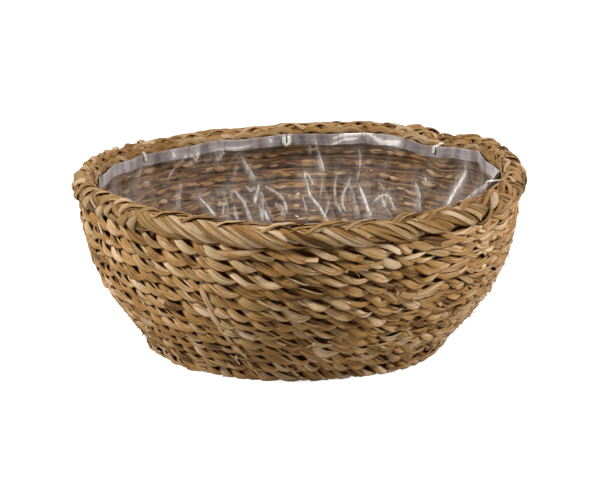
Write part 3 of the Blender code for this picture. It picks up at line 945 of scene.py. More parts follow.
def grass_finish(name, tint):
    """A grass material, with its colours turned a little by a tint."""
    if name in bpy.data.materials:
        return bpy.data.materials[name]
    look = bpy.context.scene.basket_grass
    made, nodes, shader = new_finish(name)
    group = nodes.new("Group", node_tree=grass_group())
    nodes.feed(group.inputs, Grain=nodes.grain(), Tone=nodes.mask("tone"), Edge=nodes.mask("edge"),
               Kind=nodes.mask("kind"))
    for label in GRASS_COLOURS:
        colour = getattr(look, label.lower())
        nodes.join(group.inputs[label], [min(1, c * t) for c, t in zip(colour, tint)])
    nodes.feed(shader, Base_Color=group.outputs["Colour"], Roughness=group.outputs["Roughness"],
               Normal=nodes.bump(group.outputs["Height"], look.fibre_relief, 0.8),
               Specular_IOR_Level=0.14)
    return made


# Colours of the film: painted shade where it darkens at the bowl's ends, where it is creased, and painted
# highlights with some whitening where its streaks are milky
FILM_SHADE = (0.25, 0.21, 0.19)
FILM_CREASE = (0.62, 0.58, 0.58)
FILM_MILKY_GLINT = (1.0, 0.96, 0.93)
# Colour of the thread between its fibres
THREAD_SHADE = (0.5, 0.48, 0.44)


def film_finish(look):
    """Clear film: a thin veil with gloss, milky in its streaks and where it is folded.

    Its streaks are painted highlights for lamp glints on its creases, partly whitened film.
    """
    made, nodes, shader = new_finish("clear_film")
    place = nodes.new("TexCoord").outputs["Object"]
    wrinkles = nodes.noise(place, (620, 620, 150), 3)
    haze = nodes.noise(place, (110, 110, 40), 3)
    milky, folded, ends = [nodes.mask(label) for label in ("milky", "folded", "ends")]
    # The ends mask is painted shade: the film darkens toward the bowl's sides, where the wall inside lies in
    # shade.
    colour = nodes.mix(nodes.times(ends, 0.75), look.veil, FILM_SHADE)
    colour = nodes.mix(folded, colour, look.hem)
    colour = nodes.mix(nodes.times(nodes.band(wrinkles, 0.5, 0.8), 0.4), colour, FILM_CREASE)
    # Painted highlights: the milky streaks turn the film near white, as lamp glints on its creases do,
    # partly whitened film.
    colour = nodes.mix(nodes.band(milky, 0.0, 0.7), colour, FILM_MILKY_GLINT)
    lively = nodes.plus(0.40, nodes.times(nodes.band(wrinkles, 0.30, 0.66), 0.8))
    even = nodes.plus(0.45, nodes.band(haze, 0.3, 0.7))
    veil = nodes.plus(0.04, nodes.times(nodes.band(haze, 0.35, 0.75), 0.13))
    for mask, amount, texture in ((milky, 0.9, lively), (folded, 0.30, even), (ends, 0.36, even)):
        veil = nodes.plus(veil, nodes.times(nodes.times(mask, amount), texture), clamp=True)
    nodes.feed(shader, Base_Color=colour, Alpha=veil, Specular_IOR_Level=0.55,
               Roughness=nodes.plus(0.38, nodes.times(haze, 0.25)),
               Normal=nodes.bump(wrinkles, 0.25 * MM, 0.6))
    return made


def thread_finish(look):
    """Pale twisted thread."""
    made, nodes, shader = new_finish("pale_thread")
    fuzz = nodes.noise(nodes.grain(), (5000, 900, 1), 2, 0.55, "2D")
    nodes.feed(shader, Base_Color=nodes.mix(nodes.times(fuzz, 0.5), look.thread, THREAD_SHADE),
               Roughness=0.6)
    return made


WHITE = (1, 1, 1)
WARM_WHITE = (1.0, 0.98, 0.95)
# Lamps: name, place, size, power and colour
LAMPS = (
    ("left_light", (-1.6, -0.55, 1.22), 0.32, 40, WARM_WHITE),
    ("right_light", (1.55, -0.60, 1.18), 0.32, 34, WARM_WHITE),
    ("top_light", (0.0, 0.2, 1.9), 0.7, 5, WHITE),
)
LAMP_AIM = Vector((0, 0, 0.05))
FLOOR_SIZE = 6
FLOOR_GLOW = 0.80
# The floor glows to the camera beyond this band of radius, so it stays dark under the basket,
# with a thin painted contact shadow round the foot
GLOW_BAND = (0.0925, 0.1030)
# Millimetres of lens for a metre of distance, which frames the basket as in the photo
LENS_PER_METRE = 89.5
CAMERA_SHIFT = (0.0022, 0.0032)


class BASKET_OT_stage(bpy.types.Operator):
    """Set the camera, the soft light and the pale floor"""

    bl_idname = "basket.stage"
    bl_label = "Stage"

    def execute(self, context):
        look = context.scene.basket_stage
        context.scene.view_settings.view_transform = "Standard"
        self.world(context.scene, look)
        self.floor(look)
        for name, place, size, power, colour in LAMPS:
            data = bpy.data.lights.new(name, "AREA")
            data.size = size
            data.energy = power
            data.color = colour
            lamp = placed(name, data)
            lamp.location = place
            lamp.rotation_euler = (LAMP_AIM - Vector(place)).to_track_quat("-Z", "Y").to_euler()
        self.camera(look)
        return {"FINISHED"}

    def world(self, scene, look):
        """A dim even light that the camera sees as white."""
        scene.world = bpy.data.worlds.new("even_light")
        scene.world.use_nodes = True
        tree = scene.world.node_tree
        nodes = Nodes(tree)
        sky, plain = tree.nodes["Background"], nodes.new("Background")
        nodes.feed(sky.inputs, Color=WHITE, Strength=look.sky)
        nodes.feed(plain.inputs, Color=WHITE)
        mix = nodes.new("MixShader")
        for socket, value in zip(mix.inputs, (nodes.seen(), sky.outputs[0], plain.outputs[0])):
            nodes.join(socket, value)
        nodes.feed(tree.nodes["World Output"].inputs, Surface=mix.outputs[0])

    def floor(self, look):
        """A pale floor that is white to the camera but for the basket's shadow and a thin painted contact
        shadow round the foot.
        """
        mesh = bpy.data.meshes.new("floor")
        corners = [(x * FLOOR_SIZE, y * FLOOR_SIZE, 0) for x, y in ((-1, -1), (1, -1), (1, 1), (-1, 1))]
        mesh.from_pydata(corners, [], [(0, 1, 2, 3)])
        made, nodes, shader = new_finish("floor")
        length = nodes.new("VectorMath", operation="LENGTH")
        nodes.join(length.inputs[0], nodes.new("TexCoord").outputs["Object"])
        # The glow fades out round the foot by radius: painted contact shadow.
        beside = nodes.band(length.outputs["Value"], *GLOW_BAND)
        nodes.feed(shader, Base_Color=look.floor, Roughness=0.9, Specular_IOR_Level=0.0,
                   Emission_Color=WHITE,
                   Emission_Strength=nodes.times(nodes.seen(), nodes.times(beside, FLOOR_GLOW)))
        mesh.materials.append(made)
        floor = placed("floor", mesh)

    def camera(self, look):
        """The camera at the photo's angle."""
        data = bpy.data.cameras.new("camera")
        data.sensor_width = 36
        data.lens = LENS_PER_METRE * look.distance
        data.shift_x, data.shift_y = CAMERA_SHIFT
        data.clip_end = 30
        camera = placed("camera", data)
        camera.location = (0, -look.distance * cos(look.elevation),
                           CAD_HEIGHT / 2 + look.distance * sin(look.elevation))
        level = Matrix.Rotation(pi / 2 - look.elevation, 3, "X")
        camera.rotation_euler = (level @ Matrix.Rotation(-look.roll, 3, "Z")).to_euler()
        bpy.context.scene.camera = camera


class BASKET_OT_wall(bpy.types.Operator):
    """Twine the courses of the wall"""

    bl_idname = "basket.wall"
    bl_label = "Wall Courses"

    def execute(self, context):
        bowl = Bowl(context.scene.basket_shape)
        finish = grass_finish("seagrass_weave", WEAVE_TINT)
        for course in range(bowl.courses):
            sheaf = Sheaf(bowl.draws(1, course))
            twine(sheaf, bowl.wall, bowl.stakes, (course + 0.5) * bowl.pitch, bowl.pitch,
                  WALL_DEPTH, WALL_DROP * bowl.pitch)
            for part, width, outward, tone in self.inner_leaves(bowl, course):
                packing(sheaf, bowl.wall, bowl.stakes, (course + part) * bowl.pitch, width,
                        outward * MM, tone)
            stubs(sheaf, bowl, course)
            laid(sheaf, bowl, course)
            attach(sheaf.object(f"course_{course + 1:02d}", finish), "seagrass",
                   f"weave_course_{course + 1:02d}")
        return {"FINISHED"}

    def inner_leaves(self, bowl, course):
        """Place in the course, width, distance outward in mm and tone of what is packed behind."""
        # The packed leaves' low tones are painted shade in the gaps behind the strands.
        leaves = [(0.04, 0.88 * bowl.pitch, -1.3, -0.5)]
        if course == 0:
            leaves.append((0.5, 0.9 * bowl.pitch, -1.6, -0.5))
        if course == bowl.courses - 1:
            leaves.append((0.9, 0.8 * bowl.pitch, -1.3, -0.5))
        return leaves + [(part, 1.9 * MM, -3.4, 0.15) for part in (0.2, 0.45, 0.75)]


# Leaves along a stake: distance outward, width and thickness in mm
STAKE_LEAVES = ((0, 2.2, 1.0), (0.35, 3.0, 0.4), (-0.6, 3.0, 0.4))


class BASKET_OT_stakes(bpy.types.Operator):
    """Raise the stakes and roll their ends into the border"""

    bl_idname = "basket.stakes"
    bl_label = "Stakes and Border"

    def execute(self, context):
        bowl = Bowl(context.scene.basket_shape)
        finish = grass_finish("seagrass_stakes", STAKE_TINT)
        main_count = bowl.stakes // 2
        for kind, count, first, start in (("main", main_count, 0, KNOT_RADIUS),
                                          ("side", bowl.stakes - main_count, 1, SIDE_STAKE_START)):
            for number in range(count):
                place = min(2 * number + first, bowl.stakes - 1)
                sheaf = Sheaf(bowl.draws(2, place))
                self.stake(sheaf, bowl, place, start)
                attach(sheaf.object(f"{kind}_stake_leaves_{number + 1:02d}", finish), "stake_grass",
                       f"{kind}_stake_{number + 1:02d}")
        return {"FINISHED"}

    def stake(self, sheaf, bowl, place, start):
        """One stake with its rolled end."""
        rng = sheaf.rng
        path, out = stake_line(bowl, place, start)
        run = np.arange(len(path)) / 6
        # The stake's leaves get a low tone, painted shade where they show through the gaps of the weave.
        for beside, width, thick in STAKE_LEAVES:
            sheaf.leaf(path, out, width * MM, thick * MM, camber=0.5 * MM * np.sign(beside + 0.1),
                       tone=rng.normal(-0.1, 0.12), beside=beside * MM,
                       across=ripple(rng, run, 0.2 * MM), roll=ripple(rng, run, 0.2))
        border_roll(sheaf, bowl, place)


class BASKET_OT_base(bpy.types.Operator):
    """Twine the base and plait the knot in its middle"""

    bl_idname = "basket.base"
    bl_label = "Base"

    def execute(self, context):
        bowl = Bowl(context.scene.basket_shape)
        finish = grass_finish("seagrass_base", BASE_TINT)
        self.rounds(bowl, finish)
        self.knot(bowl, finish)
        return {"FINISHED"}

    def rounds(self, bowl, finish):
        """The rounds of the base, with half as many stakes near the middle."""
        sheaf = Sheaf(bowl.draws(3))
        corner = bowl.section(np.array([0.0]), 0)[0][0]
        rings = round((corner - KNOT_RADIUS) / BASE_RING)
        pitch = (corner - KNOT_RADIUS) / rings

        def between_main(turn, reach, offset):
            return bowl.floor(np.asarray(turn) * bowl.stakes / (bowl.stakes // 2), reach, offset)

        def foot(turn, reach, offset):
            flare = FOOT_FLARE - bowl.dent(turn * bowl.turn + bowl.lean, 0.0)
            return bowl.floor(turn, reach + flare, offset)

        for ring in range(rings):
            middle = KNOT_RADIUS + (ring + 0.5) * pitch
            inner = middle < SIDE_STAKE_START
            place_on, stakes = (between_main, bowl.stakes // 2) if inner else (bowl.floor, bowl.stakes)
            twine(sheaf, place_on, stakes, middle, pitch, BASE_DEPTH, BASE_DROP * pitch, BASE_STEP)
            packing(sheaf, bowl.floor, bowl.stakes, middle + pitch / 2, 0.8 * pitch, 0)
        packing(sheaf, foot, bowl.stakes, corner - 1.5 * MM, 0.9 * pitch, -0.3 * MM)
        attach(sheaf.object("base_rounds", finish), "seagrass", "base_weave_lower", "base_weave_upper")

    def knot(self, bowl, finish):
        """A button of leaves crossed in the middle and bound round."""
        rng = bowl.draws(4)
        sheaf = Sheaf(rng)
        radius = 0.92 * KNOT_RADIUS
        run = np.linspace(-radius, radius, 15)
        for side in (-1, 1):
            for layer in range(KNOT_LAYERS):
                angle = pi * layer / KNOT_LAYERS + rng.normal(0, 0.1)
                for aside in (-1, 1):
                    height = BASE_LINE + side * ((3.1 - 0.32 * layer) * MM - 1.2 * MM * (run / radius) ** 4)
                    across = aside * 2.1 * MM
                    path = np.stack([run * cos(angle) - across * sin(angle),
                                     run * sin(angle) + across * cos(angle), height], axis=-1)
                    out = np.tile([0.0, 0.0, float(side)], (len(run), 1))
                    sheaf.leaf(path, out, 3.6 * MM, 0.5 * MM, camber=0.5 * MM,
                               tone=rng.normal(0.5, 0.14), ridge=rng.uniform(-0.2, 0.3) * MM)
        around = np.linspace(0, FULL * 3, 120)
        for start in range(3):
            twist = around * 5.5 + start * FULL / 3
            path = swing(around, radius - 1.6 * MM * np.sin(twist) - 0.6 * MM,
                         BASE_LINE + 2.6 * MM * np.cos(twist))
            out = swing(around, 0.5 * np.ones_like(around), np.cos(twist))
            sheaf.leaf(path, out, 2.6 * MM, 0.6 * MM, camber=0.5 * MM, tone=rng.normal(0.5, 0.1))
        attach(sheaf.object("knot_leaves", finish), "stake_grass", "start_knot")


def liner_rows(bowl):
    """Radius, height and crumple of the film's rows up to the hem, and the hem's lower edge."""
    depth = HALF_WALL + CLEARANCE
    leave = bowl.length - BORDER_NEST - FILM_LEAD
    climb = np.linspace(0, leave, 300)
    height = bowl.section(climb, -depth)[1]
    floor = BASE_TOP + CLEARANCE
    low = np.interp(floor, height, climb)
    shares = np.concatenate([np.linspace(0, 0.45, 18)[:-1], np.linspace(0.45, 1, 76)])
    radius, height = bowl.section(low + (leave - low) * shares, -depth)[:2]
    rows = [(r, floor, 0.25) for r in np.linspace(0.4 * MM, radius[0], FLOOR_ROWS + 1)[:-1]]
    rows.extend(zip(radius, height, 1.0 - 0.55 * shares))
    hem_low = bowl.hem_top - HEM_HEIGHT - HEM_SAG
    for share in np.linspace(0, 1, LEAD_ROWS + 1)[1:]:
        rows.append((radius[-1] + (bowl.hem_radius - radius[-1]) * share,
                     height[-1] + (hem_low - height[-1]) * share, 0.45 * (1 - share)))
    return rows, hem_low


# Level of the film away from its creases
PLAIN_LEVEL = 0.3


def crumple_field(rng, around, up, width, height):
    """Creased heights between random points, joined by flat triangles, as creased film lies."""
    points = []
    count_around, count_up = CREASE_CORNERS
    for i in range(count_around):
        for j in range(count_up + 1):
            points.append(((i + rng.uniform(-0.45, 0.45)) * width / count_around,
                           min(max((j + rng.uniform(-0.4, 0.4)) * height / count_up, 0), height)))
    levels = rng.uniform(0, 1, len(points)) ** 1.4
    plane, level = [], []
    for shift in (-width, 0, width):
        for (x, y), z in zip(points, levels):
            if -0.12 * width < x + shift < 1.12 * width:
                plane.append(Vector((x + shift, y)))
                level.append(z)
    for y in (-0.1 * height, 1.1 * height):
        for x in np.linspace(-0.12, 1.12, 40) * width:
            plane.append(Vector((x, y)))
            level.append(PLAIN_LEVEL)
    done = delaunay_2d_cdt(plane, [], [], 0, 1e-7)
    spots = np.array([(p.x, p.y) for p in done[0]])
    level = np.array([level[origin[0]] for origin in done[3]])
    result = np.full(around.shape, PLAIN_LEVEL)
    for a, b, c in done[2]:
        pa, pb, pc = spots[a], spots[b], spots[c]
        area = (pb[0] - pa[0]) * (pc[1] - pa[1]) - (pc[0] - pa[0]) * (pb[1] - pa[1])
        if abs(area) < 1e-12:
            continue
        wb = ((around - pa[0]) * (pc[1] - pa[1]) - (pc[0] - pa[0]) * (up - pa[1])) / area
        wc = ((pb[0] - pa[0]) * (up - pa[1]) - (around - pa[0]) * (pb[1] - pa[1])) / area
        inside = (wb >= -1e-6) & (wc >= -1e-6) & (wb + wc <= 1 + 1e-6)
        value = level[a] * (1 - wb - wc) + level[b] * wb + level[c] * wc
        result[inside] = value[inside]
    return result


# Corners of the hem, in degrees from the front to the right
HEM_CORNERS = (-23, 5, 28, 45, 91, 115, 152, 165, 183, 205, 234, 250, 268, 285, 310)
# Milky streaks of the film, painted highlights for lamp glints on its creases with some whitening
# of the creased film: strength, width at both ends and softness of one edge in mm, then places
# along it as degrees right of the back's middle and hundredths of the wall under the hem
STREAKS = (
    (1.0, 4.5, 0.4, 0.6, (-33, -1), (-32.7, 6)),
    (1.0, 7.0, 0.6, 0.8, (-24, 0), (-24.6, 8)),
    (0.85, 0.5, 4.6, 0.5, (-17.5, 3), (-13.6, 24)),
    (0.55, 1.5, 1.2, 0.8, (-36, -2), (-32.5, 5)),
    (0.35, 2.0, 1.5, 1.5, (-18, 2), (-20.5, 9)),
    (0.3, 2.5, 1.0, 1.5, (-18, 7), (-20, 24)),
    (0.6, 1.5, 1.5, 0.6, (-16, 27), (-14.5, 31), (-13, 27)),
    (0.95, 1.0, 2.4, 0.4, (-12, 27), (-13, 33), (-14, 39)),
    (0.55, 4.0, 2.0, 1.5, (-11.5, 32), (-12, 52)),
    (0.9, 1.5, 2.4, 0.5, (-11, 44), (-10, 52)),
    (0.8, 1.2, 1.6, 0.5, (-12, 44), (-12, 52)),
    (0.75, 1.2, 3.0, 0.6, (-20, 29), (-17.5, 37), (-16, 51)),
    (0.55, 1.0, 2.0, 0.8, (-10, 28), (-5, 36), (-3.5, 44), (-4.5, 50)),
    (0.5, 2.2, 2.0, 1.2, (-7, 41), (-5, 45), (-5, 50)),
    (0.85, 0.7, 2.0, 0.4, (-32, 31), (-30, 37), (-28, 45)),
    (0.3, 3.0, 2.5, 2.0, (-21, 26), (-28, 33), (-30, 39)),
    (0.45, 1.5, 2.0, 1.0, (-20.5, 27), (-21.5, 36)),
    (0.6, 1.2, 1.2, 0.5, (-24, 37), (-25, 45)),
    (0.32, 1.0, 14.0, 3.0, (-23, 28), (-26, 52)),
    (0.4, 1.0, 9.0, 3.0, (-12, 30), (-10, 53)),
    (0.25, 1.0, 12.0, 3.0, (8, 28), (10, 55)),
    (0.42, 0.8, 12.0, 3.0, (16, 26), (18, 52)),
    (0.3, 1.0, 12.0, 3.0, (26, 34), (30, 52)),
    (0.55, 1.0, 2.4, 1.0, (-20.5, 40), (-20.5, 50)),
    (0.45, 2.4, 1.5, 0.8, (4, 1), (4, 8)),
    (0.65, 1.2, 3.6, 0.4, (6, -1), (6.5, 8), (7.5, 20)),
    (0.8, 0.8, 0.8, 0.4, (2.5, 26), (2, 21), (3, 20), (5, 29)),
    (0.85, 0.7, 2.2, 0.4, (3, 26), (3.5, 35), (7, 44), (9.5, 53)),
    (0.45, 0.8, 0.8, 0.6, (1.5, 36), (3, 48)),
    (0.5, 0.7, 0.7, 0.5, (8, 23), (7, 41)),
    (0.5, 1.5, 1.0, 0.8, (10, 41), (9, 50)),
    (0.75, 0.8, 0.8, 0.4, (19, 5), (19, 17), (18.5, 26)),
    (0.55, 1.2, 1.4, 0.8, (12, 23), (11.5, 32), (12.5, 42), (15, 49)),
    (0.75, 1.2, 1.2, 0.5, (16.5, 24), (14, 36), (14.5, 44), (16, 47)),
    (1.0, 1.2, 3.0, 0.3, (19, 28), (21, 37), (24, 49)),
    (0.3, 5.0, 4.0, 2.0, (21.5, 26), (22, 35)),
    (0.65, 0.9, 1.4, 0.5, (24, 40), (27, 34), (29.5, 34), (32.5, 43)),
    (0.4, 0.8, 0.8, 0.8, (25.5, 26), (29, 33), (32, 38)),
    (0.7, 0.6, 2.4, 0.6, (27, 35), (28.8, 42)),
    (0.6, 1.2, 6.0, 1.2, (39, 23), (40.5, 31), (41, 41)),
    (1.0, 0.8, 2.6, 0.3, (59, 4), (54.5, 20), (52, 32)),
    (0.6, 2.8, 1.2, 0.5, (-37.5, -2), (-40, 4), (-43, 15)),
    (0.45, 1.5, 1.0, 0.6, (-36.5, -2), (-39, 5)),
    (0.8, 1.4, 1.4, 0.5, (-43, -4), (-42.5, -1)),
    (0.4, 2.0, 1.5, 1.2, (-55, 1), (-56, 6)),
    (0.4, 3.5, 3.0, 1.5, (-38, 20), (-39.5, 25), (-41, 36)),
    (0.3, 9.0, 3.0, 3.0, (-28, 1), (-30, 10)),
    (0.8, 1.4, 1.4, 0.5, (45, 7), (46, 7)),
    (0.7, 1.2, 1.2, 0.5, (50.5, 5), (51.5, 5)),
    (0.8, 1.4, 1.0, 0.5, (42, 18.5), (42.5, 19.5)),
    (0.7, 1.6, 1.2, 0.5, (0, 34.5), (0, 35.5)),
    (0.5, 1.2, 1.2, 0.5, (-3, 36), (-2.5, 36)),
    (0.5, 1.2, 1.2, 0.5, (27, 16), (27.5, 16)),
    (0.75, 1.5, 2.5, 0.6, (11, -4), (17, -6), (24, -6)),
    (0.7, 1.2, 1.2, 0.5, (10, 1), (14.5, -3), (19, -3)),
    (0.95, 1.8, 3.0, 0.4, (22, -6), (25.5, -2), (29, -1), (34, -3)),
    (0.6, 1.0, 1.2, 0.5, (-27, -1), (-14, -2)),
    (0.7, 1.0, 1.6, 0.5, (-9, -5), (-7.5, -3)),
    (0.5, 6.0, 6.0, 1.5, (104, -3), (82, -3)),
)


# Millimetres of film for a degree round the wall and for a hundredth of its height
FILM_SCALE = (2.45, 1.05)
STREAK_STEPS = 40
STREAK_SMOOTHING = 24


def streak_line(places):
    """A streak's smoothed line through its places, in millimetres of film."""
    knots = np.array(places, dtype=float) * FILM_SCALE
    length = run_length(knots)
    steps = np.linspace(0, length[-1], STREAK_STEPS + 1)
    line = np.stack([np.interp(steps, length, column) for column in knots.T], axis=1)
    return evened(line, STREAK_SMOOTHING)


def milky_glint_mask(angle, depth):
    """How milky the film is at an angle from the front and a depth under the hem.

    The milky streaks are painted highlights for lamp glints, partly whitened creases.
    """
    x = (180 - np.degrees(angle).ravel()) * FILM_SCALE[0]
    y = depth.ravel() * FILM_SCALE[1]
    mask = np.zeros(x.shape)
    for strength, first_width, last_width, soft, *places in STREAKS:
        line = streak_line(places)
        soft = 1.5 * soft
        reach = 0.75 * max(first_width, last_width) + soft + 11
        (low_x, low_y), (high_x, high_y) = line.min(axis=0) - reach, line.max(axis=0) + reach
        near = np.nonzero((x > low_x) & (x < high_x) & (y > low_y) & (y < high_y))[0]
        if not len(near):
            continue
        off_x, off_y = x[near, None] - line[:, 0], y[near, None] - line[:, 1]
        gap = np.hypot(off_x, off_y)
        closest = gap.argmin(axis=1)
        row = np.arange(len(near))
        gap, off_x, off_y = gap[row, closest], off_x[row, closest], off_y[row, closest]
        slope = np.gradient(line, axis=0)[closest]
        side = np.sign(off_x * slope[:, 1] - off_y * slope[:, 0] + 1e-9)
        done = closest / STREAK_STEPS
        half = 0.65 * (first_width + (last_width - first_width) * done) * (0.4 + 0.6 * smooth(5 * done))
        far = gap * side
        fall = np.clip((half - far) / (2 * half + soft), 0, 1)
        broad = smooth((half - 0.9) / 2)
        fill = 1 - 0.38 * smooth(fall * 3) * broad + 0.2 * smooth(fall * 5 - 3) * broad
        value = strength * fill * (1 - fall ** 2.5) * smooth((half + 0.35 - far) / 0.8)
        past = (off_x * slope[:, 0] + off_y * slope[:, 1]) / np.hypot(*slope.T)
        past = np.where(closest == STREAK_STEPS, past, np.where(closest == 0, -past, 0))
        value = value * (1 - smooth(past / 0.8)) * (1 - 0.35 * smooth(6 * done - 5))
        fog = 0.30 * strength * bell(gap, 0, 5.5)
        mask[near] = np.maximum(mask[near], np.maximum(value, fog))
    return mask.reshape(angle.shape)


# The folded hem's rows: share of its height and how far inside its outer face, in thicknesses
HEM_ROWS = (
    (0.5, 0.0), (0.97, 0.0), (1.0, 0.35), (0.97, 0.75), (0.86, 0.85), (0.75, 0.9), (0.64, 0.9),
    (0.53, 0.85), (0.42, 0.9), (0.31, 1.0), (0.2, 0.95), (0.1, 0.85), (0.0, 0.95),
)


class BASKET_OT_liner(bpy.types.Operator):
    """Line the basket with creased film and stitch its hem to the border"""

    bl_idname = "basket.liner"
    bl_label = "Film Liner"

    def execute(self, context):
        bowl = Bowl(context.scene.basket_shape)
        look = context.scene.basket_liner
        self.film(bowl, look)
        self.stitches(bowl, look)
        return {"FINISHED"}

    def film(self, bowl, look):
        """The bowl of film with its folded hem, finer at the back where it is seen."""
        rng = bowl.draws(5)
        rows, hem_low = liner_rows(bowl)
        angle = np.arange(FILM_COLUMNS) * FULL / FILM_COLUMNS
        angle = angle + COLUMN_CROWDING * np.sin(angle)
        radius, height, loose = np.array(rows).T
        length = run_length(np.stack([radius, height], axis=1))
        grid_angle, grid_length = np.meshgrid(angle, length)
        width = FULL * CREASE_RADIUS
        around = grid_angle / FULL * width
        field = crumple_field(rng, around, grid_length, width, length[-1])
        fine = crumple_field(rng, (around * 2.3) % width, grid_length, width, length[-1])
        wall_share = (grid_length - length[FLOOR_ROWS]) / (length[-1] - length[FLOOR_ROWS])
        # Painted highlights along the milky streaks, standing in for lamp glints on the creases.
        milky = milky_glint_mask(grid_angle, 100 * (1 - wall_share))
        stand = loose[:, None] * look.crumple * (0.7 * field + 0.3 * fine)
        slope = np.maximum(np.hypot(np.gradient(radius), np.gradient(height)), 1e-9)
        turned_in = np.gradient(height) / slope
        lifted = np.gradient(radius) / slope
        hem = self.hem_outline(angle)
        wrinkle = Waves(rng, 0.17 * MM, (14, 70), 3, 24)
        blend = smooth((grid_length - length[-1] + HEM_BLEND) / HEM_BLEND)
        high = np.clip(wall_share, 0, 1) ** 1.5
        full_radius = radius[:, None] * (1 - blend * (1 - hem)[None, :]) - stand * turned_in[:, None]
        full_radius = full_radius - bowl.dent(angle[None, :], np.maximum(wall_share, 0)) * (wall_share > 0)
        full_radius = full_radius + high * bowl.spread(angle)[None, :]
        full_radius = full_radius - blend * np.abs(wrinkle(grid_angle, 0))
        full_height = height[:, None] + stand * np.abs(lifted)[:, None]
        full_height = full_height + high * bowl.lift(angle, HEM_FOLLOWS)[None, :]
        points, milky = [swing(grid_angle, np.maximum(full_radius, 0), full_height)], [milky]
        sag = 0.35 * MM * np.sin(angle * 23) + 0.25 * MM * np.sin(angle * 41 + 1)
        for share, inward in HEM_ROWS:
            z = hem_low + (bowl.hem_top - hem_low) * share + sag * (0.4 if share > 0.6 else 1.0)
            r = bowl.hem_radius * hem - inward * (HEM_THICKNESS + np.abs(wrinkle(angle, 3 * share)))
            points.append(swing(angle, r + bowl.spread(angle), z + bowl.lift(angle, HEM_FOLLOWS))[None])
            milky.append(milky_glint_mask(angle, np.full(FILM_COLUMNS, -6.2 * share))[None])
        points = np.concatenate(points)
        folded = np.zeros(points.shape[:2])
        folded[len(rows) - 1:] = 1
        # The ends mask carries painted shade: the film darkens toward the bowl's sides, where the wall
        # inside lies in shade.
        off = np.abs(np.degrees(angle) - 180)
        ends = smooth((off - 42) / 25) * smooth((135 - off) / 25) * smooth(points[:, :, 2] / (45 * MM))
        index = np.arange(folded.size).reshape(folded.shape)
        faces = [quad[:1] + quad[:0:-1] for quad in grid_quads(index)] + [index[0, ::-1].tolist()]
        mesh = bpy.data.meshes.new("film_liner")
        mesh.from_pydata(points.reshape(-1, 3).tolist(), [], faces)
        store_masks(mesh, milky=np.concatenate(milky), folded=folded, ends=ends)
        mesh.shade_smooth()
        mesh.materials.append(film_finish(look))
        made = placed("film_liner", mesh)
        attach(made, "film", "liner")

    def hem_outline(self, angle):
        """How the hem's outline runs straight between its corners, as a share of its radius."""
        corners = sorted(radians(c) % FULL for c in HEM_CORNERS)
        result = np.ones_like(angle)
        for first, last in zip(corners, corners[1:] + [corners[0] + FULL]):
            past = (angle - first) % FULL
            inside = past <= last - first
            half = (last - first) / 2
            result[inside] = cos(half) / np.cos(past[inside] - half)
        return result

    def stitches(self, bowl, look):
        """Short loops of thread through the hem."""
        finish = thread_finish(look)
        step = np.linspace(0, 1, STITCH_STEPS)
        for number in range(STITCH_COUNT):
            sheaf = Sheaf(bowl.draws(6, number))
            turn = round(number * bowl.stakes / STITCH_COUNT) + FIRST_STITCH_STAKE + BORDER_LEAD + 0.5
            middle = turn * bowl.turn
            rise, out_by = bowl.lift(middle, HEM_FOLLOWS), bowl.spread(middle)
            big = number == BIG_STITCH
            hem_radius = bowl.hem_radius * self.hem_outline(np.array([middle % FULL]))[0]
            middle = middle + BIG_STITCH_SHIFT * big
            loop, ply_size, low = BIG_LOOP if big else SMALL_LOOP
            loop = loop * MM
            for ply in range(2):
                bend = np.clip((step - 0.3) / 0.4, 0, 1) * pi
                drop = np.interp(step, [0, 0.3, 0.7, 1], [low + 5.1, low, low, low + 5.1]) * MM
                inward = np.interp(step, [0, 0.12, 0.3, 0.7, 0.88, 1], [-0.4, 1.3, 1.9, 1.9, 1.3, -0.4]) * MM
                reach = bowl.hem_radius - hem_radius
                inward = inward - reach * (1 - smooth(np.minimum(step, 1 - step) / 0.1))
                twist = step * 34 + ply * pi
                angle = middle + (loop * np.cos(bend) + ply_size * MM * np.cos(twist)) / hem_radius
                path = swing(angle, hem_radius + out_by - inward + ply_size * MM * np.sin(twist),
                             bowl.hem_top + rise + drop - loop * np.sin(bend))
                out = swing(np.full(STITCH_STEPS, middle), -np.ones(STITCH_STEPS), 0.3 * np.cos(twist))
                sheaf.leaf(path, out, 3.8 * ply_size * MM, 0.5 * MM, camber=0.4 * MM, tone=0.5)
            attach(sheaf.object(f"stitch_{number + 1}", finish), "thread", f"liner_stitch_{number + 1}")


class BASKET_PT_sidebar(bpy.types.Panel):
    """Sizes, colours and the pieces of the basket"""

    bl_idname = "BASKET_PT_sidebar"
    bl_label = "Seagrass Basket"
    bl_space_type = "VIEW_3D"
    bl_region_type = "UI"
    bl_category = "Basket"

    def draw(self, context):
        layout = self.layout
        for group in GROUPS:
            box = layout.box()
            values = getattr(context.scene, GROUPS[group])
            for label in group.__annotations__:
                box.prop(values, label)
        for operator in OPERATORS:
            layout.operator(operator.bl_idname)


GROUPS = {BasketShape: "basket_shape", GrassLook: "basket_grass", LinerLook: "basket_liner",
          StageLook: "basket_stage"}
OPERATORS = (BASKET_OT_stage, BASKET_OT_base, BASKET_OT_stakes, BASKET_OT_wall, BASKET_OT_liner)


def register():
    """Add the groups, operators and panel to Blender."""
    for group, name in GROUPS.items():
        bpy.utils.register_class(group)
        setattr(bpy.types.Scene, name, PointerProperty(type=group))
    for operator in OPERATORS:
        bpy.utils.register_class(operator)
    bpy.utils.register_class(BASKET_PT_sidebar)


def unregister():
    """Take them out again."""
    bpy.utils.unregister_class(BASKET_PT_sidebar)
    for operator in reversed(OPERATORS):
        bpy.utils.unregister_class(operator)
    for group, name in GROUPS.items():
        delattr(bpy.types.Scene, name)
        bpy.utils.unregister_class(group)


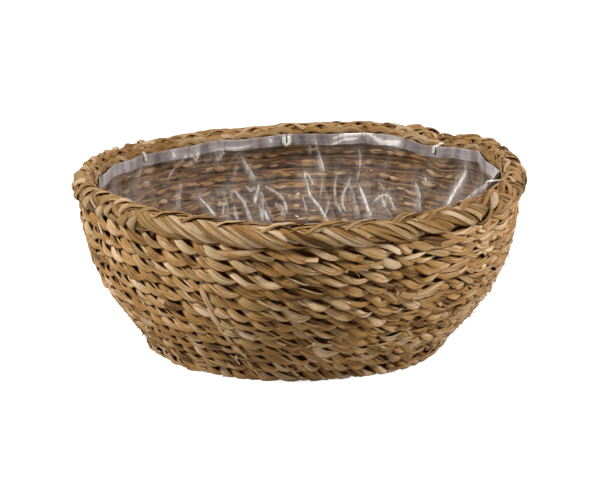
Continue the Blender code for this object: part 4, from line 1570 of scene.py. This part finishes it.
def main():
    """Build the whole basket."""
    register()
    bpy.ops.basket.stage()
    bpy.ops.basket.base()
    bpy.ops.basket.stakes()
    bpy.ops.basket.wall()
    bpy.ops.basket.liner()


if __name__ == "__main__":
    main()
